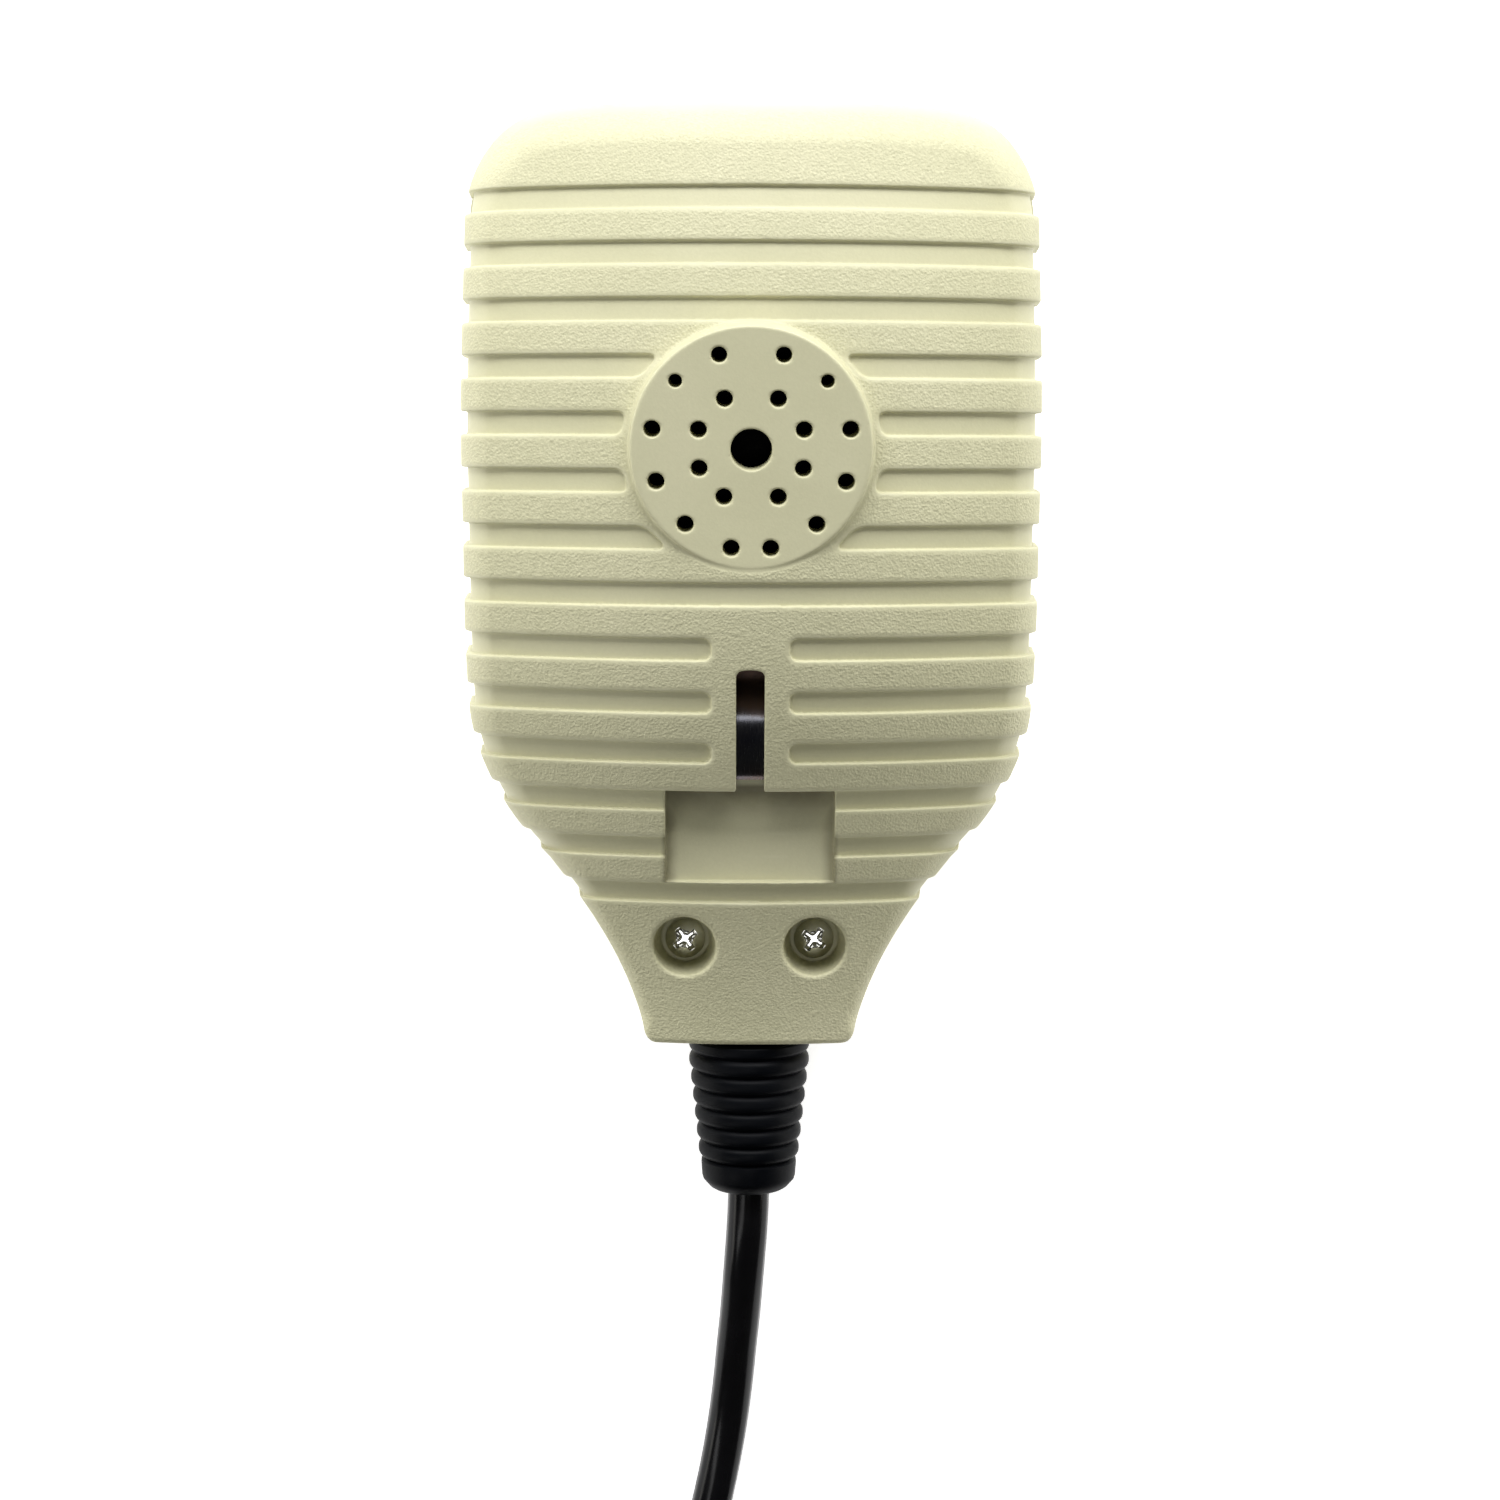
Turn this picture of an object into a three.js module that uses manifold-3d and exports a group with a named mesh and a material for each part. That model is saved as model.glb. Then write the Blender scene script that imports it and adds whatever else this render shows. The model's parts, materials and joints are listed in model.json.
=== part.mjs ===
// Hand microphone for a radio, lying on its front face.
// Millimetres. Z is up and is the way the ribbed rear cover faces. +Y is the microphone's top end,
// +X is the side with the talk bar. The origin is under the middle of the case, on the surface it lies on.

import * as THREE from 'three';
import { mergeVertices } from 'three/addons/utils/BufferGeometryUtils.js';
import Module from 'manifold-3d';

// ---------------------------------------------------------------- driving dimensions

const GAP = 0.3;                       // clearance between separate pieces
const TOP_END = 50.7;                  // y of the case's ends, at the top of its walls
const BOTTOM_END = -51.4;
const SIDE_HALF_WIDTH = 30.8;          // case, at the top of its side walls
const CROWN_HEIGHT = 35;               // highest point of the ribbed face
const CROWN_Y = 16.5;
const CROSS_RADIUS = 59;               // curve of the ribbed face across the case
const PARTING_HEIGHT = 11.5;           // where the two covers meet
const WALL = 2.2;
const RIB_STEP = 0.65;                 // ribs stand this far above the grooves
const REAR_DRAFT = Math.tan(THREE.MathUtils.degToRad(4));
const FRONT_DRAFT = Math.tan(THREE.MathUtils.degToRad(3));

// Grooves lie at an even pitch along the face. Their numbers count from the crown down to the neck.
const GROOVES = { pitch: 5.87, width: 2.42, shift: 0.32, first: -4, last: 9 };
const DISC = {
  y: 14.88, radius: 12.6, tilt: 5.3, outerRing: 10.35, innerRing: 5.73, hole: 0.86, centreHole: 2.13,
};
const OUTER_HOLE_ANGLES = [18.4, 48.7, 79.2, 109.3, 139.1, 168.7];
const INNER_HOLE_ANGLES = [28.7, 70.8, 111.2, 150.8];
const HANGER = {
  slotHalf: 1.5, slotTop: -8.4, lipY: -21.6, recessEnd: -32, recessHalf: 9.1, pocketHalf: 7.5,
};
const SCREW = { x: 7.1, y: -39.7, pocketRadius: 3.25, headRadius: 2.15, seat: 13.2, shankRadius: 1.25 };
const BOOT = {
  height: 9.75, end: -70.3, firstRib: -54.5, ribPitch: 2.06, ribs: 6, collarRadius: 6.85,
  holeRadius: 4.4, holeDepth: 6.6,
};
const SPRING = { half: 3.6, thick: 0.4, footTop: -6.9, footEnd: -9.9, screwY: -8.4 };
const TALK = {
  low: -8.5, high: 30.5, bottom: 2.9, top: 9.1, face: 31.1, pinX: 27.6, pinY: -5.2, pinRadius: 1,
};
const LEAF = { x: 24.2, pivotY: 33.5, tipY: 21.5, thick: 0.4, bottom: 4.8, top: 7.6 };
const SWITCH = { x0: 17.4, x1: 23.8, y0: 1.2, y1: 14, z0: 3.2, z1: 9, plungerY: 8.3, tags: 3 };
const BOARD = { y: -13, halfX: 13, halfY: 8, bottom: 6.2, thick: 1.2, screwX: 10.4 };
const CLAMP = { y: -32.8, halfY: 1.7, screwX: 5.4, bottom: 12.5, thick: 1.4 };
const CAPSULE = { x: -4, y: 16, radius: 12 };
const CORD = { radius: 2.35, curlRadius: 7.25 };
const RING = { x: -6, y: -158, radius: 39, start: 87, sweep: 336 };
const PLUG = { x: 5, y: -146, height: 9.5, contacts: 8 };
const SHELL = { cordEnd: 5.6, body: 8, nose: 7.2, bore: 6.6, length: 30 };
const CASE_SCREW = {
  headRadius: SCREW.headRadius, headHeight: 1.7, shankRadius: SCREW.shankRadius, length: 9.6, sides: 16,
};
const BOARD_SCREW = { headRadius: 1.7, headHeight: 1.1, shankRadius: 0.8, length: 4.2, sides: 12 };
const CLAMP_SCREW = { headRadius: 1.7, headHeight: 1.1, shankRadius: 0.8, length: 7.5, sides: 12 };
const SPRING_SCREW = { headRadius: 1.7, headHeight: 1.1, shankRadius: 0.85, length: 2.6, sides: 14 };
const PLUG_SCREW = { headRadius: 1.5, headHeight: 0.9, shankRadius: 0.8, length: 3, sides: 12 };

// ---------------------------------------------------------------- colours and finishes

const FINISHES = {
  case: { color: 0xcdcba6, roughness: 0.55, metalness: 0 },
  boot: { color: 0x14161a, roughness: 0.6, metalness: 0 },
  jacket: { color: 0x0b0b0d, roughness: 0.3, metalness: 0 },
  steel: { color: 0xb9b9b4, roughness: 0.3, metalness: 1 },
  spring: { color: 0x8f959c, roughness: 0.25, metalness: 1 },
  dark: { color: 0x1d1d1f, roughness: 0.6, metalness: 0 },
  cloth: { color: 0x121212, roughness: 0.95, metalness: 0 },
  board: { color: 0xb38a4a, roughness: 0.5, metalness: 0 },
  nickel: { color: 0xc9c6bd, roughness: 0.28, metalness: 1 },
  brass: { color: 0xc9a24a, roughness: 0.3, metalness: 1 },
  insulator: { color: 0x2a2522, roughness: 0.5, metalness: 0 },
  red: { color: 0xa32a22, roughness: 0.5, metalness: 0 },
  white: { color: 0xd9d7cf, roughness: 0.5, metalness: 0 },
  blue: { color: 0x2c4c8c, roughness: 0.5, metalness: 0 },
};

// ---------------------------------------------------------------- joining and cutting

const wasm = await Module();
wasm.setup();

function toSolid(geometry) {
  const bare = geometry.clone();
  bare.deleteAttribute('normal');
  bare.deleteAttribute('uv');
  const merged = mergeVertices(bare, 1e-4);
  const mesh = new wasm.Mesh({
    numProp: 3,
    vertProperties: new Float32Array(merged.attributes.position.array),
    triVerts: new Uint32Array(merged.index.array),
  });
  return new wasm.Manifold(mesh);
}

function toGeometry(solid) {
  const mesh = solid.getMesh();
  const geometry = new THREE.BufferGeometry();
  geometry.setAttribute('position', new THREE.BufferAttribute(new Float32Array(mesh.vertProperties), 3));
  geometry.setIndex(new THREE.BufferAttribute(new Uint32Array(mesh.triVerts), 1));
  geometry.computeVertexNormals();
  return geometry;
}

function unite(solids) {
  return solids.reduce((sum, next) => sum.add(next));
}

function cutAll(solid, tools) {
  return tools.reduce((left, tool) => left.subtract(tool), solid);
}

// ---------------------------------------------------------------- simple shapes

function blockGeometry([x0, y0, z0], [x1, y1, z1]) {
  const geometry = new THREE.BoxGeometry(x1 - x0, y1 - y0, z1 - z0);
  return geometry.translate((x0 + x1) / 2, (y0 + y1) / 2, (z0 + z1) / 2);
}

function block(low, high) {
  return toSolid(blockGeometry(low, high));
}

// A round bar from one point to another; the second radius makes it taper.
function rodGeometry(from, to, radius, sides = 16, endRadius = radius) {
  const start = new THREE.Vector3(...from);
  const axis = new THREE.Vector3(...to).sub(start);
  const geometry = new THREE.CylinderGeometry(endRadius, radius, axis.length(), sides);
  geometry.translate(0, axis.length() / 2, 0);
  const turn = new THREE.Quaternion().setFromUnitVectors(new THREE.Vector3(0, 1, 0), axis.normalize());
  geometry.applyQuaternion(turn);
  return geometry.translate(start.x, start.y, start.z);
}

function rod(from, to, radius, sides, endRadius) {
  return toSolid(rodGeometry(from, to, radius, sides, endRadius));
}

// A flat outline given as [y, z] points, drawn out along X.
function sideProfileGeometry(points, x0, x1) {
  const shape = new THREE.Shape(points.map(([y, z]) => new THREE.Vector2(y, z)));
  const geometry = new THREE.ExtrudeGeometry(shape, { depth: x1 - x0, bevelEnabled: false });
  const toSide = new THREE.Matrix4().makeBasis(
    new THREE.Vector3(0, 1, 0),
    new THREE.Vector3(0, 0, 1),
    new THREE.Vector3(1, 0, 0),
  );
  return geometry.applyMatrix4(toSide).translate(x0, 0, 0);
}

function sideProfile(points, x0, x1) {
  return toSolid(sideProfileGeometry(points, x0, x1));
}

// A turned piece whose axis is +Z: points are [radius, z], from the bottom up.
function turnedGeometry(points, sides = 24) {
  return new THREE.LatheGeometry(points.map(([r, z]) => new THREE.Vector2(r, z)), sides).rotateX(Math.PI / 2);
}

function roundSection(radius, sides) {
  const shape = new THREE.Shape();
  const first = Math.PI / sides;
  for (let i = 0; i < sides; i += 1) {
    const angle = first + (i * 2 * Math.PI) / sides;
    const point = new THREE.Vector2(radius * Math.cos(angle), radius * Math.sin(angle));
    if (i === 0) shape.moveTo(point.x, point.y);
    else shape.lineTo(point.x, point.y);
  }
  shape.closePath();
  return shape;
}

function tubeGeometry(curve, radius, sides, steps) {
  const settings = { steps, bevelEnabled: false, extrudePath: curve };
  return new THREE.ExtrudeGeometry(roundSection(radius, sides), settings);
}

function throughPoints(points) {
  return new THREE.CatmullRomCurve3(points.map((p) => new THREE.Vector3(...p)), false, 'centripetal');
}

// ---------------------------------------------------------------- the case's form

// Height of the ribbed face along the middle of the case.
function spineHeight(y) {
  const TOP_RADIUS = 93;
  const FALL = { scale: 4.36e-4, power: 2.656 };
  const RAMP_START = -18;
  const RAMP_SLOPE = 0.44;
  const NECK_START = -34;
  const NECK_EASE = 0.0068;
  if (y >= CROWN_Y) return CROWN_HEIGHT - (y - CROWN_Y) ** 2 / (2 * TOP_RADIUS);
  if (y >= RAMP_START) return CROWN_HEIGHT - FALL.scale * (CROWN_Y - y) ** FALL.power;
  const rampTop = spineHeight(RAMP_START);
  if (y >= NECK_START) return rampTop - RAMP_SLOPE * (RAMP_START - y);
  const run = NECK_START - y;
  return spineHeight(NECK_START) - RAMP_SLOPE * run + NECK_EASE * run ** 2;
}

// The y that lies a given distance along the face from the crown, positive towards the neck.
function alongFace(distance) {
  const STEP = 0.02;
  const way = -Math.sign(distance);
  let y = CROWN_Y;
  for (let gone = 0; gone < Math.abs(distance);) {
    gone += Math.hypot(STEP, spineHeight(y + way * STEP) - spineHeight(y));
    y += way * STEP;
  }
  return y;
}

function ribbedFace(x, y) {
  return spineHeight(y) - x ** 2 / (2 * CROSS_RADIUS);
}

// Half of the plan outline at the top of the side walls, from the top end down to the bottom end.
function halfOutline() {
  const path = new THREE.CurvePath();
  const v = (x, y) => new THREE.Vector2(x, y);
  const bend = (...points) => path.add(new THREE.CubicBezierCurve(...points.map(([x, y]) => v(x, y))));
  bend([0, TOP_END], [8, 50.6], [16, 50.1], [23.2, 49.4]);
  bend([23.2, 49.4], [28, 48.3], [30.3, 44.5], [30.5, 39.6]);
  bend([30.5, 39.6], [30.55, 30], [31, 20], [SIDE_HALF_WIDTH, 11]);
  bend([SIDE_HALF_WIDTH, 11], [30.6, 2], [30.9, -7], [30.45, -14]);
  bend([30.45, -14], [30, -18.4], [27.7, -24.7], [22.2, -30]);
  bend([22.2, -30], [16.9, -36.6], [13.9, -41.7], [11.8, -49.4]);
  bend([11.8, -49.4], [11.6, -50.8], [11.2, BOTTOM_END], [10.2, BOTTOM_END]);
  bend([10.2, BOTTOM_END], [6.8, BOTTOM_END], [3.4, BOTTOM_END], [0, BOTTOM_END]);
  const steps = [2, 5, 3, 3, 5, 5, 2, 1];
  const points = [v(0, TOP_END)];
  path.curves.forEach((curve, i) => points.push(...curve.getPoints(steps[i]).slice(1)));
  return points;
}

// The whole outline as strips that run from the edge in to the middle line of the case.
function outlineStrips() {
  const SPINE_TOP = 36;
  const SPINE_BOTTOM = -44;
  const FLATTEST = 0.4;
  const right = halfOutline();
  const left = right.slice(1, -1).reverse().map((p) => new THREE.Vector2(-p.x, p.y));
  const loop = [...right, ...left];
  return loop.map((point, i) => {
    const before = loop[(i + loop.length - 1) % loop.length];
    const after = loop[(i + 1) % loop.length];
    const along = after.clone().sub(before).normalize();
    const inward = new THREE.Vector2(along.y, -along.x);
    const middle = new THREE.Vector2(0, THREE.MathUtils.clamp(point.y, SPINE_BOTTOM, SPINE_TOP));
    const reach = middle.clone().sub(point);
    const length = reach.length();
    const direction = reach.divideScalar(length);
    const slant = 1 / Math.max(direction.dot(inward), FLATTEST);
    return { point, middle, direction, length, slant };
  });
}

const STRIPS = outlineStrips();

function insetPoint(strip, inset) {
  const FARTHEST = 0.97;
  const step = Math.min(inset * strip.slant, strip.length * FARTHEST);
  return strip.point.clone().addScaledVector(strip.direction, step);
}

// A closed pillow-shaped solid: flat at its rim, drafted walls, a rounded edge and a curved face.
// sign is +1 when the face looks up from the rim and -1 when it looks down.
function pillow({ rim, inset, face, corner, draft, sign, cornerAngles = [30, 60, 90], flare = () => 0 }) {
  const FACE_FRACTIONS = [0.5, 1];
  const angles = cornerAngles.map(THREE.MathUtils.degToRad);
  const quads = [];
  const columns = STRIPS.map((strip) => {
    const edge = insetPoint(strip, inset);
    const radius = corner(strip.point.y);
    const shoulder = insetPoint(strip, inset + radius);
    const faceHeight = face(shoulder.x, shoulder.y);
    const wallTop = faceHeight - sign * radius;
    const lean = Math.abs(wallTop - rim) * draft + flare(strip.point.y);
    const foot = insetPoint(strip, inset - lean);
    const column = [[foot.x, foot.y, rim], [edge.x, edge.y, wallTop]];
    for (const angle of angles) {
      const p = insetPoint(strip, inset + radius * (1 - Math.cos(angle)));
      column.push([p.x, p.y, wallTop + sign * radius * Math.sin(angle)]);
    }
    for (const fraction of FACE_FRACTIONS) {
      const p = shoulder.clone().lerp(strip.middle, fraction);
      column.push([p.x, p.y, face(p.x, p.y)]);
    }
    column.push([strip.middle.x, strip.middle.y, rim]);
    return column;
  });
  const positions = columns.flat(2);
  const rows = columns[0].length;
  for (let i = 0; i < columns.length; i += 1) {
    const next = (i + 1) % columns.length;
    for (let k = 0; k < rows - 2; k += 1) {
      quads.push([i * rows + k, next * rows + k, next * rows + k + 1, i * rows + k + 1]);
    }
    quads.push([i * rows + rows - 1, next * rows + rows - 1, next * rows, i * rows]);
  }
  const turn = sign > 0 ? ([a, b, c, d]) => [a, c, b, a, d, c] : ([a, b, c, d]) => [a, b, c, a, c, d];
  const geometry = new THREE.BufferGeometry();
  geometry.setAttribute('position', new THREE.Float32BufferAttribute(positions, 3));
  geometry.setIndex(quads.flatMap(turn));
  return withoutSlivers(geometry);
}

// Merges equal corners and drops the faces that they leave with no area.
function withoutSlivers(geometry) {
  const merged = mergeVertices(geometry, 1e-3);
  const index = Array.from(merged.index.array);
  const kept = [];
  for (let i = 0; i < index.length; i += 3) {
    const [a, b, c] = index.slice(i, i + 3);
    if (a !== b && b !== c && c !== a) kept.push(a, b, c);
  }
  merged.setIndex(kept);
  return toSolid(merged);
}

// The edge is rolled most at the top end and least at the neck's end.
function rearCorner(y) {
  const SIDE = 3.2;
  const TOP_EXTRA = 5.5;
  const NECK_LESS = 1.6;
  const END_LESS = 0.8;
  const top = THREE.MathUtils.smoothstep(y, 36, 49) * TOP_EXTRA;
  const neck = THREE.MathUtils.smoothstep(-y, 26, 40) * NECK_LESS;
  const end = THREE.MathUtils.smoothstep(-y, 47.6, 50.6) * END_LESS;
  return SIDE + top - neck - end;
}

// An edge inside the walls is tighter than the same edge outside.
function innerCorner(outer, depth) {
  const TIGHTER = 0.7;
  const LEAST = 0.6;
  return Math.max(outer - depth * TIGHTER, LEAST);
}

// Near the top end the front cover stands a little wider than the grooves of the rear cover.
function frontFlare(y) {
  const SIDE = -0.3;
  const TOP_EXTRA = 0.45;
  return SIDE + THREE.MathUtils.smoothstep(y, 29, 41) * TOP_EXTRA;
}

function rearForm(depth, rim, cornerAngles) {
  return pillow({
    rim,
    cornerAngles,
    inset: depth,
    face: (x, y) => ribbedFace(x, y) - depth,
    corner: (y) => innerCorner(rearCorner(y), depth),
    draft: REAR_DRAFT,
    sign: 1,
  });
}

function frontForm(depth, rim, cornerAngles) {
  const FACE_CORNER = 4.2;
  return pillow({
    rim,
    cornerAngles,
    inset: depth,
    face: () => depth,
    corner: () => innerCorner(FACE_CORNER, depth),
    draft: FRONT_DRAFT,
    sign: -1,
    flare: frontFlare,
  });
}

// ---------------------------------------------------------------- rear cover

const REAR_RIM = PARTING_HEIGHT + GAP / 2;
const FRONT_RIM = PARTING_HEIGHT - GAP / 2;
const FAR = 60;

// The places where the cover stands at rib height: the ribs, the cap, the neck panel,
// the plain field round the sound disc and the plain strip above the hanger slot.
function raisedRegions() {
  const STRIP = { half: 4.1, top: -3 };
  const DISC_FIELD = 13.4;
  const regions = [];
  let ribTop = FAR;
  for (let i = GROOVES.first; i <= GROOVES.last; i += 1) {
    const grooveEnd = i * GROOVES.pitch + GROOVES.shift;
    regions.push(block([-FAR, alongFace(grooveEnd - GROOVES.width), 0], [FAR, ribTop, FAR]));
    ribTop = alongFace(grooveEnd);
  }
  regions.push(block([-FAR, -FAR, 0], [FAR, ribTop, FAR]));
  regions.push(rod([0, DISC.y, 0], [0, DISC.y, FAR], DISC_FIELD, 28));
  regions.push(block([-STRIP.half, HANGER.lipY, 0], [STRIP.half, STRIP.top, FAR]));
  return regions;
}

function discFrame() {
  const tilt = THREE.MathUtils.degToRad(DISC.tilt);
  const low = DISC.y - DISC.radius;
  const height = spineHeight(low) + DISC.radius * Math.tan(tilt);
  const frame = new THREE.Matrix4().makeRotationX(tilt);
  return frame.setPosition(0, DISC.y, height);
}

function soundDisc() {
  const THICK = 5;
  const plate = new THREE.CylinderGeometry(DISC.radius - 0.25, DISC.radius + 0.35, THICK, 32);
  return toSolid(plate.rotateX(Math.PI / 2).translate(0, 0, -THICK / 2).applyMatrix4(discFrame()));
}

function soundHoles() {
  const frame = discFrame();
  const hole = (x, y, radius, sides) => {
    const pin = rodGeometry([x, y, -12], [x, y, 3], radius, sides);
    return toSolid(pin.applyMatrix4(frame));
  };
  const ring = (angles, radius) => angles.flatMap((degrees) => {
    const angle = THREE.MathUtils.degToRad(degrees);
    const x = radius * Math.sin(angle);
    const y = radius * Math.cos(angle);
    return [hole(x, y, DISC.hole, 8), hole(-x, y, DISC.hole, 8)];
  });
  const outer = ring(OUTER_HOLE_ANGLES, DISC.outerRing);
  const inner = ring(INNER_HOLE_ANGLES, DISC.innerRing);
  return [...outer, ...inner, hole(0, 0, DISC.centreHole, 16)];
}

// Floor of the hanger recess: nearly level under the slot, then falling to run out into a groove at the neck.
function recessFloor(y) {
  const BEND = -22;
  const BEND_HEIGHT = 23.7;
  const slope = y > BEND ? 0.02 : 0.115;
  return BEND_HEIGHT + (y - BEND) * slope;
}

function hangerTub() {
  const FLOOR = 1.6;
  const SIDE = 1.6;
  const TUB_TOP = -5;
  const bottom = (y) => recessFloor(y) - FLOOR;
  const low = HANGER.recessEnd - SIDE;
  const outline = [[low, bottom(low)], [TUB_TOP, bottom(TUB_TOP)], [TUB_TOP, FAR], [low, FAR]];
  const half = HANGER.recessHalf + SIDE;
  return sideProfile(outline, -half, half);
}

function hangerCuts() {
  const LIP = 2.4;
  const POCKET_TOP = -6.6;
  const POCKET_CEILING = 3.6;
  const SLOT_ABOVE_FLOOR = 0.5;
  const start = HANGER.lipY - 0.1;
  const recess = [
    [HANGER.recessEnd, recessFloor(HANGER.recessEnd)],
    [HANGER.lipY, recessFloor(HANGER.lipY)],
    [HANGER.lipY, FAR],
    [HANGER.recessEnd, FAR],
  ];
  const pocket = [
    [start, recessFloor(HANGER.lipY)],
    [POCKET_TOP, recessFloor(POCKET_TOP)],
    [POCKET_TOP, spineHeight(POCKET_TOP) - POCKET_CEILING],
    [start, spineHeight(HANGER.lipY) - LIP],
  ];
  const slot = [
    [start, recessFloor(HANGER.lipY) + SLOT_ABOVE_FLOOR],
    [HANGER.slotTop, recessFloor(HANGER.slotTop) + SLOT_ABOVE_FLOOR],
    [HANGER.slotTop, FAR],
    [start, FAR],
  ];
  return [
    sideProfile(recess, -HANGER.recessHalf, HANGER.recessHalf),
    sideProfile(pocket, -HANGER.pocketHalf, HANGER.pocketHalf),
    sideProfile(slot, -HANGER.slotHalf, HANGER.slotHalf),
  ];
}

function bothSides(make) {
  return [make(-1), make(1)];
}

function rearCover() {
  const BOSS_RADIUS = 4.6;
  const FELT_RIM = { outer: 12.8, inner: 11.6, bottom: 27.6 };
  const grooved = rearForm(RIB_STEP, REAR_RIM);
  const ribs = rearForm(0, REAR_RIM).intersect(unite(raisedRegions()));
  const outside = unite([grooved, ribs, soundDisc()]);
  const hollow = rearForm(RIB_STEP + WALL, REAR_RIM - 1, [90]);
  const upright = (s, from, radius, sides) => {
    const x = s * SCREW.x;
    return rod([x, SCREW.y, from], [x, SCREW.y, FAR], radius, sides);
  };
  const bosses = bothSides((s) => upright(s, REAR_RIM, BOSS_RADIUS, 16));
  const feltRim = rod([0, DISC.y, FELT_RIM.bottom], [0, DISC.y, FAR], FELT_RIM.outer, 20)
    .subtract(rod([0, DISC.y, 0], [0, DISC.y, FAR], FELT_RIM.inner, 20));
  const inside = unite([...bosses, feltRim, hangerTub()]).intersect(grooved);
  const shell = outside.subtract(hollow).add(inside);
  const pockets = bothSides((s) => upright(s, SCREW.seat, SCREW.pocketRadius, 20));
  const shankHoles = bothSides((s) => upright(s, 0, SCREW.shankRadius + GAP, 10));
  const cuts = [...soundHoles(), ...hangerCuts(), ...pockets, ...shankHoles, bootHole(), springScrewHole()];
  return cutAll(shell, cuts);
}

// ---------------------------------------------------------------- front cover

function bootHole() {
  return rod([0, -FAR, BOOT.height], [0, BOTTOM_END + BOOT.holeDepth, BOOT.height], BOOT.holeRadius, 24);
}

function soundSlots() {
  const SLOTS = 7;
  const PITCH = 3.8;
  const HALF_SLOT = 0.8;
  const FIELD = 14.5;
  const slots = [];
  for (let i = 0; i < SLOTS; i += 1) {
    const offset = (i - (SLOTS - 1) / 2) * PITCH;
    const half = Math.sqrt(FIELD ** 2 - offset ** 2);
    const y = CAPSULE.y + offset;
    slots.push(block([CAPSULE.x - half, y - HALF_SLOT, -1], [CAPSULE.x + half, y + HALF_SLOT, WALL + 1]));
  }
  return slots;
}

// Shallow grooves across the lower part of the front face.
function frontGrooves() {
  const DEPTH = 0.5;
  const WIDTH = 1.8;
  return [-30, -25.5, -21].map((y) => block([-FAR, y, -1], [FAR, y + WIDTH, DEPTH]));
}

// Posts, ears and rests stand on the inside of the front wall; their feet run a little way into it.
const FOOT = WALL - 0.5;

function post(x, y, top, radius) {
  return rod([x, y, FOOT], [x, y, top], radius, 14);
}

function postHole(x, y, from, radius) {
  return rod([x, y, from], [x, y, FAR], radius, 12);
}

// A well for the capsule's holder.
function capsuleWall() {
  const RADIUS = { outer: 15.4, inner: 14.2 };
  const TOP = 8;
  const { x, y } = CAPSULE;
  const well = rod([x, y, 0], [x, y, FAR], RADIUS.inner, 28);
  return rod([x, y, FOOT], [x, y, TOP], RADIUS.outer, 28).subtract(well);
}

// Ears above and below the end of the talk bar, which carry its pin.
function pinEars() {
  const HALF = 2.6;
  const X = { from: 25.4, to: 29 };
  const ear = (from, to) => block([X.from, TALK.pinY - HALF, from], [X.to, TALK.pinY + HALF, to]);
  return [ear(FOOT, TALK.bottom - GAP), ear(TALK.top + GAP, FRONT_RIM)];
}

function insideOfFront() {
  const SADDLE_HALF = 4.6;
  const LEAF_POST = { x0: 22.6, x1: 26.2 };
  return [
    ...bothSides((s) => post(s * SCREW.x, SCREW.y, FRONT_RIM, 2.7)),
    ...bothSides((s) => post(s * BOARD.screwX, BOARD.y, BOARD.bottom - GAP, 2)),
    ...bothSides((s) => post(s * CLAMP.screwX, CLAMP.y, FRONT_RIM, 1.9)),
    block([-SADDLE_HALF, CLAMP.y - 1.5, FOOT], [SADDLE_HALF, CLAMP.y + 1.5, BOOT.height]),
    capsuleWall(),
    ...pinEars(),
    block([28.6, TALK.low - 3, 1.2], [FAR, TALK.high + 3, FRONT_RIM]),
    block([LEAF_POST.x0, LEAF.pivotY - 1.2, FOOT], [LEAF_POST.x1, LEAF.pivotY + 3.5, FRONT_RIM - 0.5]),
    block([SWITCH.x0 + 0.6, SWITCH.y0 + 1, FOOT], [SWITCH.x1 - 0.8, SWITCH.y1 - 1, SWITCH.z0 - GAP]),
  ];
}

// The finger scoop in the side, and the opening in its floor that the talk bar stands in.
function talkCuts() {
  const SCOOP = { x: 30.2, beyond: 2, below: 1 };
  const OPENING = { x: 26.6, beyond: 0.4 };
  const aroundBar = (x, endways, upDown) => block(
    [x, TALK.low - endways, TALK.bottom - upDown],
    [FAR, TALK.high + endways, TALK.top + upDown],
  );
  const scoop = aroundBar(SCOOP.x, SCOOP.beyond, SCOOP.below);
  const opening = aroundBar(OPENING.x, OPENING.beyond, OPENING.beyond);
  const pinHole = rod([TALK.pinX, TALK.pinY, 1.3], [TALK.pinX, TALK.pinY, FAR], TALK.pinRadius + 0.08, 16);
  return [scoop, opening, pinHole];
}

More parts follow.
